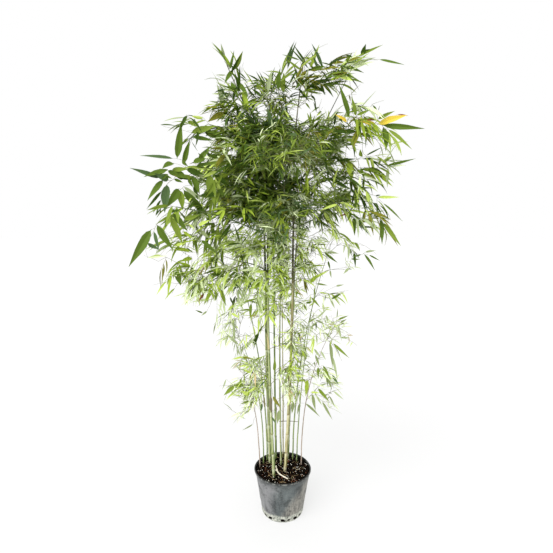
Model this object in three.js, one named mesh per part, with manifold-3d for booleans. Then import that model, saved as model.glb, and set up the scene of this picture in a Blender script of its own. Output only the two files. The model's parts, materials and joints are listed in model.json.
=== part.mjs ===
// A clump of bamboo in a round nursery pot: culms, boughs and masses of foliage.
// Millimetres, +Z up, +X right, +Y to the back. The origin is the centre of the pot's underside.
import * as THREE from "three";
import { mergeVertices } from "three/addons/utils/BufferGeometryUtils.js";
import Module from "manifold-3d";

const wasm = await Module();
wasm.setup();

// Fits
const CLEARANCE = 0.35; // clearance between pieces that touch
const MASS_GROWTH = 0.7; // how far a mass is grown before it cuts its neighbour

// Pot
const POT_HEIGHT = 250;
const POT_TOP_RADIUS = 147.5; // the wall just under the rim
const POT_FOOT_RADIUS = 114;
const POT_WALL = 2.6;
const RIM_HEIGHT = 9; // height of the rolled rim
const RIM_PROUD = 2.5;
const FOOT_HEIGHT = 28; // below this the wall turns in to the underside
const FOOT_TURN = 7;
const POT_SEGMENTS = 24;
const DRAIN_NOTCHES = 10;
const NOTCH = { width: 11, height: 16, depth: 12 };

// Soil
const SOIL_LEVEL = 229; // at the wall
const SOIL_RISE = 8; // how much higher the soil stands in the middle
const SOIL_LUMP = 3;
const SOIL_RING = 0.5; // share of the soil's radius where its heap breaks
const CULM_SOCKET = 4; // how deep a culm's flat foot stands in the uneven soil

// Culms
const CULM_SIDES = 5;
const CULM_STEPS = 7;
const FLARE = 0.25; // a culm's foot is this share thicker than its stem
const FLARE_HEIGHT = 60;
const CULM_TAPER = 0.78;

// Boughs
const BOUGH_SIDES = 4;
const BOUGH_STEPS = 3;
const BOUGH_RADIUS = { root: 3.8, tip: 1.8 };
const BOUGH_ENTRY = 0.2; // how far along its mass a bough ends
const BOUGH_CLIMB = { least: 0.35, most: 1.2 }; // rise of a bough for each millimetre outward

// Foliage
const MASS_DETAIL = 1; // how finely a mass is faceted
const LUMPS = 9; // swellings and hollows on each mass
const LUMP_SIZE = 0.34; // share of a mass's own radius
const LUMP_SPREAD = 0.55; // radians from the middle of a lump to its edge
const TIP_TAPER = 0.32; // how much narrower a mass is towards its far end
const END_FULLNESS = 0.72; // 1 is an ellipsoid, less is blunter at both ends

// Each culm: where its foot stands, where its tip ends, how late it bends (late), and a slight
// bow on the way. Lengths in millimetres.
const CULMS = {
  culm_left_tall: { foot: [-68, 58], tip: [-264, -8, 2290], late: 7, bow: [-20, 0], girth: 8.2 },
  culm_front_tall: { foot: [-46, -66], tip: [-58, 60, 2225], late: 3, bow: [-28, 4], girth: 7.6 },
  culm_right_tall: { foot: [12, -18], tip: [88, -95, 2290], late: 6, bow: [34, 0], girth: 7.8 },
  culm_right_back: { foot: [30, 104], tip: [290, -110, 2225], late: 5, bow: [20, 0], girth: 6.2 },
  culm_back_tall: { foot: [-36, 104], tip: [-50, 330, 2070], late: 2.6, bow: [-8, 0], girth: 5.6 },
  culm_centre: { foot: [-8, 42], tip: [10, -320, 1900], late: 3, bow: [-10, 0], girth: 4.8 },
  culm_left_mid: { foot: [-84, 88], tip: [-280, 190, 1480], late: 2, bow: [0, 0], girth: 4 },
  culm_left_outer: { foot: [-104, 56], tip: [-262, -12, 1060], late: 2.6, bow: [0, 0], girth: 3.4 },
  culm_left_short: { foot: [-122, 18], tip: [-212, -20, 800], late: 3, bow: [-6, 0], girth: 3 },
  culm_back_mid: { foot: [4, 114], tip: [-10, 350, 1600], late: 1.8, bow: [0, 0], girth: 3.8 },
  culm_back_right: { foot: [58, 100], tip: [270, 220, 1460], late: 2.1, bow: [0, 0], girth: 4 },
  culm_right_mid: { foot: [78, 74], tip: [170, -10, 1290], late: 2, bow: [6, 0], girth: 3.4 },
  culm_right_outer: { foot: [102, 42], tip: [270, -10, 1060], late: 2.6, bow: [0, 0], girth: 3 },
};

// Each mass runs from its inner end to its tip. width is its level breadth and depth the other
// one. droop bends the tip down. A mass that no culm runs through hangs on a bough of its own.
const MASSES = {
  core_upper: { from: [110, -10, 1915], to: [-350, -20, 1900], width: 440, depth: 300 },
  core_middle: { from: [100, -10, 1690], to: [-350, -20, 1690], width: 400, depth: 290 },
  core_right: { from: [40, 0, 1900], to: [345, -20, 1905], width: 380, depth: 270 },
  core_right_low: { from: [60, 0, 1680], to: [325, -20, 1690], width: 340, depth: 240 },
  top_middle: { from: [-70, 40, 2035], to: [-60, 60, 2268], width: 330, depth: 250 },
  top_left: { from: [-110, 0, 2010], to: [-365, -40, 2130], width: 240, depth: 220 },
  top_right: { from: [70, 10, 2030], to: [425, 50, 2165], width: 230, depth: 170 },
  tuft_left: { from: [-215, 0, 2110], to: [-305, -16, 2378], width: 130, depth: 150 },
  tuft_middle: { from: [68, -60, 2100], to: [102, -115, 2358], width: 150, depth: 120 },
  arch_right: { from: [120, -40, 2130], to: [475, -200, 2300], width: 150, depth: 140 },
  shoulder_left: { from: [-290, -60, 1960], to: [-590, -150, 2020], width: 170, depth: 140, bough: true },
  right_front: { from: [220, -130, 1985], to: [590, -305, 1965], width: 220, depth: 200, bough: true },
  right_side: { from: [250, -50, 1790], to: [600, -140, 1845], width: 240, depth: 180, bough: true },
  right_low: { from: [215, -60, 1650], to: [550, -150, 1475], width: 230, depth: 220, bough: true },
  left_front: { from: [-210, -160, 1800], to: [-605, -500, 1780], width: 250, depth: 220, bough: true },
  left_hanging: { from: [-390, -370, 1700], to: [-595, -550, 1440], width: 190, depth: 170, bough: true },
  left_middle: { from: [-190, -140, 1640], to: [-500, -380, 1510], width: 220, depth: 190, bough: true },
  left_low: { from: [-130, -40, 1400], to: [-535, -250, 1310], width: 250, depth: 250, bough: true, droop: 40 },
  front_upper: { from: [-10, -170, 1880], to: [10, -490, 1850], width: 320, depth: 210 },
  front_middle: { from: [0, -150, 1640], to: [-30, -430, 1550], width: 280, depth: 190 },
  back_upper: { from: [-20, 190, 1950], to: [-50, 510, 2010], width: 360, depth: 230 },
  back_right: { from: [190, 160, 1820], to: [430, 420, 1860], width: 280, depth: 200, bough: true },
  back_left: { from: [-190, 160, 1820], to: [-480, 390, 1810], width: 290, depth: 200, bough: true },
  back_middle: { from: [-10, 180, 1630], to: [-10, 490, 1540], width: 320, depth: 200 },
  back_low_left: { from: [-150, 130, 1450], to: [-420, 270, 1330], width: 240, depth: 180 },
  back_low_right: { from: [140, 120, 1440], to: [430, 280, 1330], width: 240, depth: 170 },
  back_lower: { from: [10, 130, 1230], to: [-10, 340, 970], width: 250, depth: 200 },
  middle_left: { from: [-120, -20, 1525], to: [-135, -30, 990], width: 250, depth: 270 },
  middle_right: { from: [60, 0, 1520], to: [290, -30, 1165], width: 250, depth: 230 },
  right_lower: { from: [120, 10, 1150], to: [350, -20, 920], width: 190, depth: 180 },
  right_hanging: { from: [110, 10, 890], to: [305, -20, 580], width: 170, depth: 170 },
  left_lower: { from: [-130, 10, 1110], to: [-325, -40, 935], width: 200, depth: 190 },
  left_bottom: { from: [-110, 10, 880], to: [-255, -30, 540], width: 180, depth: 200 },
  centre_low: { from: [35, -30, 1100], to: [55, -140, 670], width: 200, depth: 180 },
  centre_middle: { from: [-10, -128, 1600], to: [5, -150, 1220], width: 200, depth: 190 },
};

const PALE_BELOW = 1420; // masses lower than this have the paler leaves

const LOOKS = {
  pot: { color: 0x4f5557, roughness: 0.6 },
  soil: { color: 0x2c211a, roughness: 0.95 },
  culm: { color: 0x9fb060, roughness: 0.45 },
  bough: { color: 0x8c9a55, roughness: 0.55 },
  leaves: { color: 0x47702f, roughness: 0.6 },
  palerLeaves: { color: 0x7fa944, roughness: 0.6 },
};

const UP = new THREE.Vector3(0, 0, 1);

// Closed mesh to solid, and back.
function solidOf(geometry) {
  const bare = geometry.clone();
  bare.deleteAttribute("normal");
  bare.deleteAttribute("uv");
  const merged = mergeVertices(bare, 1e-3);
  return new wasm.Manifold(
    new wasm.Mesh({
      numProp: 3,
      vertProperties: new Float32Array(merged.attributes.position.array),
      triVerts: new Uint32Array(merged.index.array),
    }),
  );
}

function geometryOf(solid) {
  const made = solid.getMesh();
  const points = new Float32Array(made.numVert * 3);
  for (let i = 0; i < made.numVert; i++) {
    const at = i * made.numProp;
    points.set(made.vertProperties.subarray(at, at + 3), i * 3);
  }
  const geometry = new THREE.BufferGeometry();
  geometry.setAttribute("position", new THREE.BufferAttribute(points, 3));
  geometry.setIndex(new THREE.BufferAttribute(new Uint32Array(made.triVerts), 1));
  geometry.computeVertexNormals();
  return geometry;
}

// A cut can leave a sliver beside the main body: only the main body is kept.
function mainBody(solid) {
  const bodies = solid.decompose();
  return bodies.reduce((best, body) => (body.volume() > best.volume() ? body : best));
}

// Swellings and hollows spread evenly over a ball, turned and sized by the seed.
function lumpsFor(seed) {
  const golden = Math.PI * (3 - Math.sqrt(5));
  return Array.from({ length: LUMPS }, (_, k) => {
    const height = 1 - (2 * k + 1) / LUMPS;
    const turn = golden * k + 1.9 * seed;
    const level = Math.sqrt(1 - height * height);
    const towards = new THREE.Vector3(level * Math.cos(turn), level * Math.sin(turn), height);
    return { towards, size: LUMP_SIZE * Math.sin(2.4 * k + 1.3 * seed) };
  });
}

function swellAt(point, lumps) {
  return lumps.reduce((sum, lump) => {
    const away = point.angleTo(lump.towards) / LUMP_SPREAD;
    return sum + lump.size * Math.exp(-away * away);
  }, 1);
}

// A tapering tube round pathAt(share), with a flat cut at its foot and at its tip.
function taperedLimb(pathAt, radiusAt, sides, steps, levelFoot = false) {
  const points = [];
  const faces = [];
  for (let i = 0; i <= steps; i++) {
    const share = i / steps;
    const centre = pathAt(share);
    const tangent = pathAt(Math.min(1, share + 0.01)).sub(pathAt(Math.max(0, share - 0.01)));
    if (i === 0 && levelFoot) tangent.copy(UP);
    const side = new THREE.Vector3().crossVectors(tangent, new THREE.Vector3(0, 1, 0)).normalize();
    const other = new THREE.Vector3().crossVectors(tangent, side).normalize();
    for (let k = 0; k < sides; k++) {
      const turn = (2 * Math.PI * k) / sides;
      const outward = side.clone().multiplyScalar(Math.cos(turn)).addScaledVector(other, Math.sin(turn));
      points.push(centre.clone().addScaledVector(outward, radiusAt(share)));
    }
  }
  const ring = (i, k) => i * sides + (k % sides);
  for (let i = 0; i < steps; i++) {
    for (let k = 0; k < sides; k++) {
      faces.push(ring(i, k), ring(i, k + 1), ring(i + 1, k + 1));
      faces.push(ring(i, k), ring(i + 1, k + 1), ring(i + 1, k));
    }
  }
  for (let k = 1; k < sides - 1; k++) {
    faces.push(ring(0, 0), ring(0, k + 1), ring(0, k));
    faces.push(ring(steps, 0), ring(steps, k), ring(steps, k + 1));
  }
  const geometry = new THREE.BufferGeometry().setFromPoints(points);
  geometry.setIndex(faces);
  return geometry;
}

// What a limb's corners are moved out by, so that its flat sides clear by this much.
const outset = (clearance, sides) => clearance / Math.cos(Math.PI / sides);

// Pot
const outerRadius = (height) =>
  THREE.MathUtils.mapLinear(height, FOOT_HEIGHT, POT_HEIGHT, POT_FOOT_RADIUS, POT_TOP_RADIUS);
const innerRadius = (height) =>
  height < FOOT_HEIGHT ? POT_FOOT_RADIUS - FOOT_TURN - POT_WALL : outerRadius(height) - POT_WALL;

function turned(profile) {
  const points = profile.map(([radius, height]) => new THREE.Vector2(radius, height));
  return new THREE.LatheGeometry(points, POT_SEGMENTS).rotateX(Math.PI / 2);
}

function pot() {
  const underside = POT_FOOT_RADIUS - FOOT_TURN;
  const rimFoot = POT_HEIGHT - RIM_HEIGHT;
  const rim = POT_TOP_RADIUS + RIM_PROUD;
  const profile = [
    [0, 0],
    [underside, 0],
    [POT_FOOT_RADIUS - FOOT_TURN / 3, FOOT_HEIGHT / 2],
    [POT_FOOT_RADIUS, FOOT_HEIGHT],
    [outerRadius(rimFoot), rimFoot],
    [rim, rimFoot + 2],
    [rim, POT_HEIGHT],
    [innerRadius(POT_HEIGHT), POT_HEIGHT],
    [innerRadius(FOOT_HEIGHT), FOOT_HEIGHT],
    [innerRadius(0), FOOT_HEIGHT - 5],
    [innerRadius(0), POT_WALL],
    [0, POT_WALL],
  ];
  let made = solidOf(turned(profile));
  for (let i = 0; i < DRAIN_NOTCHES; i++) {
    const turn = (2 * Math.PI * (i + 0.5)) / DRAIN_NOTCHES;
    const notch = new THREE.BoxGeometry(NOTCH.depth, NOTCH.width, NOTCH.height);
    notch.translate(underside, 0, NOTCH.height / 2 + POT_WALL).rotateZ(turn);
    made = made.subtract(solidOf(notch));
  }
  return geometryOf(made);
}

// Soil
function soilHeight(x, y) {
  const middle = 1 - Math.min(1, Math.hypot(x, y) / POT_TOP_RADIUS) ** 2;
  const rough = Math.sin(x / 11) + Math.sin(y / 9 + 2) + Math.sin((x - y) / 7);
  return SOIL_LEVEL + middle * (SOIL_RISE + (SOIL_LUMP * rough) / 3);
}

function soilBody() {
  const wall = (height) => innerRadius(height) - CLEARANCE;
  const profile = [
    [0, POT_WALL + CLEARANCE],
    [wall(0), POT_WALL + CLEARANCE],
    [wall(0), FOOT_HEIGHT - 5],
    [wall(FOOT_HEIGHT), FOOT_HEIGHT],
    [wall(SOIL_LEVEL), SOIL_LEVEL],
    [wall(SOIL_LEVEL) * SOIL_RING, SOIL_LEVEL],
    [0, SOIL_LEVEL],
  ];
  const geometry = turned(profile);
  const position = geometry.attributes.position;
  for (let i = 0; i < position.count; i++) {
    const [x, y] = [position.getX(i), position.getY(i)];
    const inside = Math.hypot(x, y) < wall(SOIL_LEVEL) - 1;
    if (position.getZ(i) > FOOT_HEIGHT && inside) position.setZ(i, soilHeight(x, y));
  }
  return solidOf(geometry);
}

// Culms
const culmFootHeight = (culm) => soilHeight(...culm.foot) - CULM_SOCKET;

function culmPath(culm) {
  const foot = culmFootHeight(culm);
  return (share) => {
    const lean = share ** culm.late;
    const bow = Math.sin(Math.PI * share);
    return new THREE.Vector3(
      culm.foot[0] + (culm.tip[0] - culm.foot[0]) * lean + culm.bow[0] * bow,
      culm.foot[1] + (culm.tip[1] - culm.foot[1]) * lean + culm.bow[1] * bow,
      foot + (culm.tip[2] - foot) * share,
    );
  };
}

function culmRadius(culm, share) {
  const height = share * (culm.tip[2] - culmFootHeight(culm));
  const flare = 1 + FLARE * Math.exp(-height / FLARE_HEIGHT);
  return culm.girth * flare * (1 - CULM_TAPER * share ** 1.5);
}

function culmSolid(culm, clearance = 0) {
  const radius = (share) => culmRadius(culm, share) + outset(clearance, CULM_SIDES);
  return solidOf(taperedLimb(culmPath(culm), radius, CULM_SIDES, CULM_STEPS, true));
}

// Foliage
function massFrame(mass) {
  const [from, to] = [new THREE.Vector3(...mass.from), new THREE.Vector3(...mass.to)];
  const run = to.clone().sub(from);
  const length = run.length();
  run.normalize();
  const level = Math.abs(run.z) > 0.9 ? new THREE.Vector3(1, 0, 0) : UP;
  const across = new THREE.Vector3().crossVectors(level, run).normalize();
  const over = new THREE.Vector3().crossVectors(run, across);
  return { from, to, run, across, over, length };
}

function massSolid(mass, seed, growth = 0) {
  const { from, to, run, across, over, length } = massFrame(mass);
  const middle = from.clone().lerp(to, 0.5);
  const half = [length / 2 + growth, mass.width / 2 + growth, mass.depth / 2 + growth];
  const lumps = lumpsFor(seed);
  const ball = new THREE.IcosahedronGeometry(1, MASS_DETAIL);
  const position = ball.attributes.position;
  const point = new THREE.Vector3();
  for (let i = 0; i < position.count; i++) {
    point.fromBufferAttribute(position, i);
    const fullness = Math.max(0.01, Math.hypot(point.y, point.z)) ** (END_FULLNESS - 1);
    const girth = fullness * swellAt(point, lumps) * (1 - TIP_TAPER * Math.max(0, point.x));
    const droop = (mass.droop ?? 0) * ((point.x + 1) / 2) ** 2;
    const placed = middle
      .clone()
      .addScaledVector(run, point.x * half[0])
      .addScaledVector(across, point.y * half[1] * girth)
      .addScaledVector(over, point.z * half[2] * girth);
    position.setXYZ(i, placed.x, placed.y, placed.z - droop);
  }
  return solidOf(ball);
}

// A bough leaves the nearest culm that lies low enough for it to rise into its mass.
function boughPath(mass) {
  const { from, to } = massFrame(mass);
  const end = from.clone().lerp(to, BOUGH_ENTRY);
  let best = null;
  for (const culm of Object.values(CULMS)) {
    const path = culmPath(culm);
    for (let share = 0.3; share <= 0.93; share += 0.01) {
      const root = path(share);
      const climb = (end.z - root.z) / Math.hypot(end.x - root.x, end.y - root.y);
      if (climb < BOUGH_CLIMB.least || climb > BOUGH_CLIMB.most) continue;
      const length = root.distanceTo(end);
      if (!best || length < best.length) best = { root, length };
    }
  }
  const elbow = best.root.clone().lerp(end, 0.5);
  elbow.z += 0.1 * best.length;
  const curve = new THREE.QuadraticBezierCurve3(best.root, elbow, end);
  return (share) => curve.getPoint(share);
}

function boughSolid(mass, clearance = 0) {
  const radius = (share) =>
    THREE.MathUtils.lerp(BOUGH_RADIUS.root, BOUGH_RADIUS.tip, share) + outset(clearance, BOUGH_SIDES);
  return solidOf(taperedLimb(boughPath(mass), radius, BOUGH_SIDES, BOUGH_STEPS));
}

// Assembly
const bamboo = new THREE.Group();

function add(name, geometry, look) {
  const mesh = new THREE.Mesh(geometry, new THREE.MeshStandardMaterial({ metalness: 0, ...look }));
  mesh.name = name;
  bamboo.add(mesh);
}

const cutBy = (solid, cutters) => cutters.reduce((left, cutter) => left.subtract(cutter), solid);
const culmRooms = Object.values(CULMS).map((culm) => culmSolid(culm, CLEARANCE));
const boughRooms = [];
const massRooms = [];

add("pot", pot(), LOOKS.pot);
add("soil", geometryOf(mainBody(cutBy(soilBody(), culmRooms))), LOOKS.soil);
for (const [name, culm] of Object.entries(CULMS)) {
  add(name, geometryOf(culmSolid(culm)), LOOKS.culm);
}
for (const [name, mass] of Object.entries(MASSES)) {
  if (!mass.bough) continue;
  const made = mainBody(cutBy(boughSolid(mass), [...culmRooms, ...boughRooms]));
  add("bough_" + name, geometryOf(made), LOOKS.bough);
  boughRooms.push(boughSolid(mass, CLEARANCE));
}
Object.entries(MASSES).forEach(([name, mass], seed) => {
  const made = mainBody(cutBy(massSolid(mass, seed), [...culmRooms, ...boughRooms, ...massRooms]));
  const pale = (mass.from[2] + mass.to[2]) / 2 < PALE_BELOW;
  add("leaves_" + name, geometryOf(made), pale ? LOOKS.palerLeaves : LOOKS.leaves);
  massRooms.push(massSolid(mass, seed, MASS_GROWTH));
});

export default bamboo;
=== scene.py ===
import json
import math

import bpy
import numpy as np
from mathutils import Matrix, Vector, noise
from mathutils.bvhtree import BVHTree

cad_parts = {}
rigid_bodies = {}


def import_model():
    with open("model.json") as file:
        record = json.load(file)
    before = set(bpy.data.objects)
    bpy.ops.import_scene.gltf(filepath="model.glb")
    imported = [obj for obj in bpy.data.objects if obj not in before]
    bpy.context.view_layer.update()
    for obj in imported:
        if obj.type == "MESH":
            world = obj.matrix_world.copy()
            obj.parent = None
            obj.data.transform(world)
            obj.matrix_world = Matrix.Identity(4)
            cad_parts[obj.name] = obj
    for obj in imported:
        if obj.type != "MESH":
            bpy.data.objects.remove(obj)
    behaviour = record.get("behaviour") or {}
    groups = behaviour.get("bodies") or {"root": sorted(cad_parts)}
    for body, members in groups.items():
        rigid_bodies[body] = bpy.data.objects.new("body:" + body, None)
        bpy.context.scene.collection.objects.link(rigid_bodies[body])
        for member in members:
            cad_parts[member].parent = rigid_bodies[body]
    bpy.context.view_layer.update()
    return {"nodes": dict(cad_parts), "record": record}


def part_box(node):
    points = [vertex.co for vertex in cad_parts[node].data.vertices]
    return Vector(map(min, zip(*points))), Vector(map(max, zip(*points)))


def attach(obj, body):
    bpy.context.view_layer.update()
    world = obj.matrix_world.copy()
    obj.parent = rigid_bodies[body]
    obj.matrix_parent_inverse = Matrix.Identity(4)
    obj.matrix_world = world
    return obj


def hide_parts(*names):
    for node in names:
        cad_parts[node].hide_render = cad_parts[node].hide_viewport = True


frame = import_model()
slotOfNode = {row["node"]: row["material_slot"] for row in frame["record"]["subparts"]}
print("frame loaded:", len(frame["nodes"]), "nodes")

upward = np.array((0.0, 0.0, 1.0))


# Small maths

def unit(rows):
    rows = np.asarray(rows, float)
    return rows / np.maximum(np.linalg.norm(rows, axis=-1, keepdims=True), 1e-9)


def across(rows, ahead):
    # what is left of rows when the part along ahead is taken away
    return unit(rows - (rows * ahead).sum(-1, keepdims=True) * ahead)


def smoothStep(value, low, high):
    share = np.clip((value - low) / (high - low), 0, 1)
    return share * share * (3 - 2 * share)


def bump(value, middle, width):
    return np.exp(-((np.asarray(value, float) - middle) / width) ** 2)


def unevenness(place, scale, seed=0.0, octaves=3):
    # smooth noise, about -1 to 1
    return noise.fractal(Vector(place) * scale + Vector((seed, 1.7 * seed, -seed)), 1.0, 2.0, octaves)


def linearColour(code):
    # "#rrggbb" as a linear colour with its alpha
    parts = [int(code[i:i + 2], 16) / 255 for i in (1, 3, 5)]
    return tuple(p / 12.92 if p < 0.04045 else ((p + 0.055) / 1.055) ** 2.4 for p in parts) + (1.0,)


def smoothLine(knots, count):
    # count even steps along a smooth curve through the knots, each a row of numbers
    knots = np.asarray(knots, float)
    padded = np.vstack([2 * knots[0] - knots[1], knots, 2 * knots[-1] - knots[-2]])
    at = np.linspace(0, len(knots) - 1, count)
    cell = np.minimum(at.astype(int), len(knots) - 2)
    t = (at - cell)[:, None]
    a, b, c, d = (padded[cell + k] for k in range(4))
    return 0.5 * (2 * b + (c - a) * t + (2 * a - 5 * b + 4 * c - d) * t**2 + (3 * b - a - 3 * c + d) * t**3)


# Meshes

class Shape:
    # points and faces gathered into one joined mesh
    def __init__(self):
        self.points = []
        self.corners = []
        self.sizes = []
        self.slots = []
        self.marks = {}
        self.count = 0

    def add(self, points, faceSets, slot=0, **marks):
        # slot is one finish for every face, or a list with an array for each set of faces
        for faces, own in zip(faceSets, slot if isinstance(slot, list) else [slot] * len(faceSets)):
            faces = np.asarray(faces, int)
            self.corners.append((faces + self.count).ravel())
            self.sizes.append(np.full(len(faces), faces.shape[1]))
            self.slots.append(np.broadcast_to(own, len(faces)))
        for mark, values in marks.items():
            self.marks.setdefault(mark, []).append(np.broadcast_to(values, len(points)))
        self.points.append(np.asarray(points, float))
        self.count += len(points)

    def piece(self, name, finishes, smooth=True):
        mesh = bpy.data.meshes.new(name)
        points = np.concatenate(self.points)
        sizes = np.concatenate(self.sizes)
        mesh.vertices.add(len(points))
        mesh.vertices.foreach_set("co", points.astype(np.float32).ravel())
        mesh.loops.add(int(sizes.sum()))
        mesh.loops.foreach_set("vertex_index", np.concatenate(self.corners).astype(np.int32))
        mesh.polygons.add(len(sizes))
        mesh.polygons.foreach_set("loop_start", (np.cumsum(sizes) - sizes).astype(np.int32))
        for finish in finishes:
            mesh.materials.append(finish)
        mesh.polygons.foreach_set("material_index", np.concatenate(self.slots).astype(np.int32))
        mesh.update(calc_edges=True)
        mesh.polygons.foreach_set("use_smooth", np.full(len(sizes), smooth))
        for mark, values in self.marks.items():
            layer = mesh.attributes.new(mark, "FLOAT", "POINT")
            layer.data.foreach_set("value", np.concatenate(values).astype(np.float32))
        if "crease" in self.marks:
            self.sharpen(mesh)
        made = bpy.data.objects.new(name, mesh)
        bpy.context.scene.collection.objects.link(made)
        return made

    def sharpen(self, mesh):
        # an edge whose two ends both carry the crease mark is shaded sharp
        creased = np.concatenate(self.marks["crease"]) > 0.5
        ends = np.zeros(len(mesh.edges) * 2, np.int32)
        mesh.edges.foreach_get("vertices", ends)
        sharp = mesh.attributes.new("sharp_edge", "BOOLEAN", "EDGE")
        sharp.data.foreach_set("value", creased[ends.reshape(-1, 2)].all(1))
        mesh.attributes.remove(mesh.attributes["crease"])


def tube(line, radii, sides, closed=True):
    # rings of points round a line with the faces between them
    line = np.asarray(line, float)
    ahead = unit(np.gradient(line, axis=0))
    side = across(np.array((0.31, 0.87, 0.38)), ahead[0])
    turns = np.arange(sides) * 2 * math.pi / sides
    rings = []
    for place, way, radius in zip(line, ahead, np.broadcast_to(radii, len(line))):
        side = across(side, way)
        other = np.cross(way, side)
        rings.append(place + radius * (np.outer(np.cos(turns), side) + np.outer(np.sin(turns), other)))
    return np.concatenate(rings), ringFaces(len(line), sides, closed)


def ringFaces(rings, sides, closed=True):
    low = (np.arange(rings - 1)[:, None] * sides + np.arange(sides)).ravel()
    high = (np.arange(rings - 1)[:, None] * sides + (np.arange(sides) + 1) % sides).ravel()
    faces = [np.stack([low, high, high + sides, low + sides], 1)]
    if closed:
        last = (rings - 1) * sides
        faces.append(np.array([np.arange(sides)[::-1], last + np.arange(sides)]))
    return faces


def nodePoints(name):
    mesh = frame["nodes"][name].data
    points = np.zeros(len(mesh.vertices) * 3, np.float32)
    mesh.vertices.foreach_get("co", points)
    return points.reshape(-1, 3).astype(float)


def standFor(piece, slot, *nodes):
    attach(piece, "root")
    if nodes:
        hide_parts(*nodes)
    return piece


# Finishes

class Wire:
    # one output of a node: shader maths is written as an expression on wires and numbers
    def __init__(self, finish, socket):
        self.finish = finish
        self.socket = socket

    def __add__(self, other):
        return self.finish.maths("ADD", self, other)

    def __mul__(self, other):
        return self.finish.maths("MULTIPLY", self, other)

    def __sub__(self, other):
        return self.finish.maths("SUBTRACT", self, other)

    def __rsub__(self, other):
        return self.finish.maths("SUBTRACT", other, self)

    __radd__ = __add__
    __rmul__ = __mul__


class Finish:
    # a material with one Principled shader, and the nodes that feed it
    def __init__(self, name, **plain):
        self.material = bpy.data.materials.new(name)
        self.material.use_nodes = True
        self.tree = self.material.node_tree
        self.tree.nodes.clear()
        self.shader = self.tree.nodes.new("ShaderNodeBsdfPrincipled")
        surface = self.tree.nodes.new("ShaderNodeOutputMaterial")
        self.tree.links.new(self.shader.outputs["BSDF"], surface.inputs["Surface"])
        self.feed(**plain)

    def feed(self, **values):
        # baseColour feeds Base Color, and so on
        names = {"baseColour": "Base Color", "roughness": "Roughness", "normal": "Normal",
                 "specular": "Specular IOR Level", "glow": "Emission Strength"}
        for word, value in values.items():
            self.connect(value, self.shader.inputs[names[word]])

    def connect(self, value, socket):
        if isinstance(value, Wire):
            self.tree.links.new(value.socket, socket)
        else:
            socket.default_value = value

    def node(self, kind, settings=None, inputs=None, output=0):
        made = self.tree.nodes.new(kind)
        for setting, value in (settings or {}).items():
            if setting == "stops":
                self.setStops(made.color_ramp, value)
            else:
                setattr(made, setting, value)
        for socket, value in (inputs or {}).items():
            self.connect(value, made.inputs[socket])
        return Wire(self, made.outputs[output])

    def setStops(self, ramp, stops):
        while len(ramp.elements) < len(stops):
            ramp.elements.new(0.5)
        for element, (place, value) in zip(ramp.elements, stops):
            element.position = place
            element.color = (value, value, value, 1.0)

    def maths(self, operation, first, second):
        return self.node("ShaderNodeMath", {"operation": operation}, {0: first, 1: second})

    def mixed(self, share, first, second):
        # colours are given as codes or as wires; inputs 6 and 7 and output 2 are the colour ones
        pair = [linearColour(c) if isinstance(c, str) else c for c in (first, second)]
        return self.node("ShaderNodeMix", {"data_type": "RGBA"}, {0: share, 6: pair[0], 7: pair[1]}, 2)

    def over(self, colour, top, value, low, high, most=1.0):
        # lays another colour over the first one where value rises from low to high
        return self.mixed(self.ramp(value, (low, 0.0), (high, most)), colour, top)

    def ramp(self, value, *stops):
        return self.node("ShaderNodeValToRGB", {"stops": stops}, {"Fac": value})

    def place(self):
        return self.node("ShaderNodeTexCoord", output="Object")

    def stretched(self, scale):
        return self.node("ShaderNodeMapping", None, {"Vector": self.place(), "Scale": scale})

    def grain(self, vector, scale, detail, rough):
        inputs = {"Vector": vector, "Scale": scale, "Detail": detail, "Roughness": rough}
        return self.node("ShaderNodeTexNoise", None, inputs)

    def cells(self, vector, scale):
        return self.node("ShaderNodeTexVoronoi", None, {"Vector": vector, "Scale": scale})

    def side(self, axis):
        # how far along x, y or z (0, 1 or 2) a point lies
        return self.node("ShaderNodeSeparateXYZ", None, {0: self.place()}, axis)

    def mark(self, name):
        return self.node("ShaderNodeAttribute", {"attribute_name": name}, output="Fac")

    def relief(self, height, distance, strength):
        inputs = {"Height": height, "Distance": distance, "Strength": strength}
        return self.node("ShaderNodeBump", None, inputs)


def plainFinish(name, code, roughness=0.5, specular=0.3):
    finish = Finish(name, baseColour=linearColour(code), roughness=roughness, specular=specular)
    return finish.material


# Camera, light and floor

view = {
    "lens": 30,                     # millimetres
    "sensor": 36,
    "nearest": 0.05,                # metres from the eye that are drawn
    "farthest": 60,
    "eye": (-0.033, -2.26, 1.70),
    "lookDown": 10.2,               # degrees
}

studio = {
    "world": 1.0,
    "key": 2.0,                     # strength of the soft key light
    "keySpread": 50,                # degrees
    "keyFrom": (-0.45, -0.75, 1.0),
    "floorSize": 30,
    "floorTone": 0.30,
    "floorGlow": 0.60,              # the floor is a pale light table, which keeps its shadow faint
}


def softLight(name, comesFrom, spread, strength):
    # one broad sun lamp, so that the floor is lit evenly
    lamp = bpy.data.lights.new(name, "SUN")
    lamp.angle = math.radians(spread)
    lamp.energy = strength
    holder = bpy.data.objects.new(name, lamp)
    holder.rotation_mode = "QUATERNION"
    holder.rotation_quaternion = (-Vector(comesFrom)).to_track_quat("-Z", "Y")
    holder.location = Vector(comesFrom)
    bpy.context.scene.collection.objects.link(holder)


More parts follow.
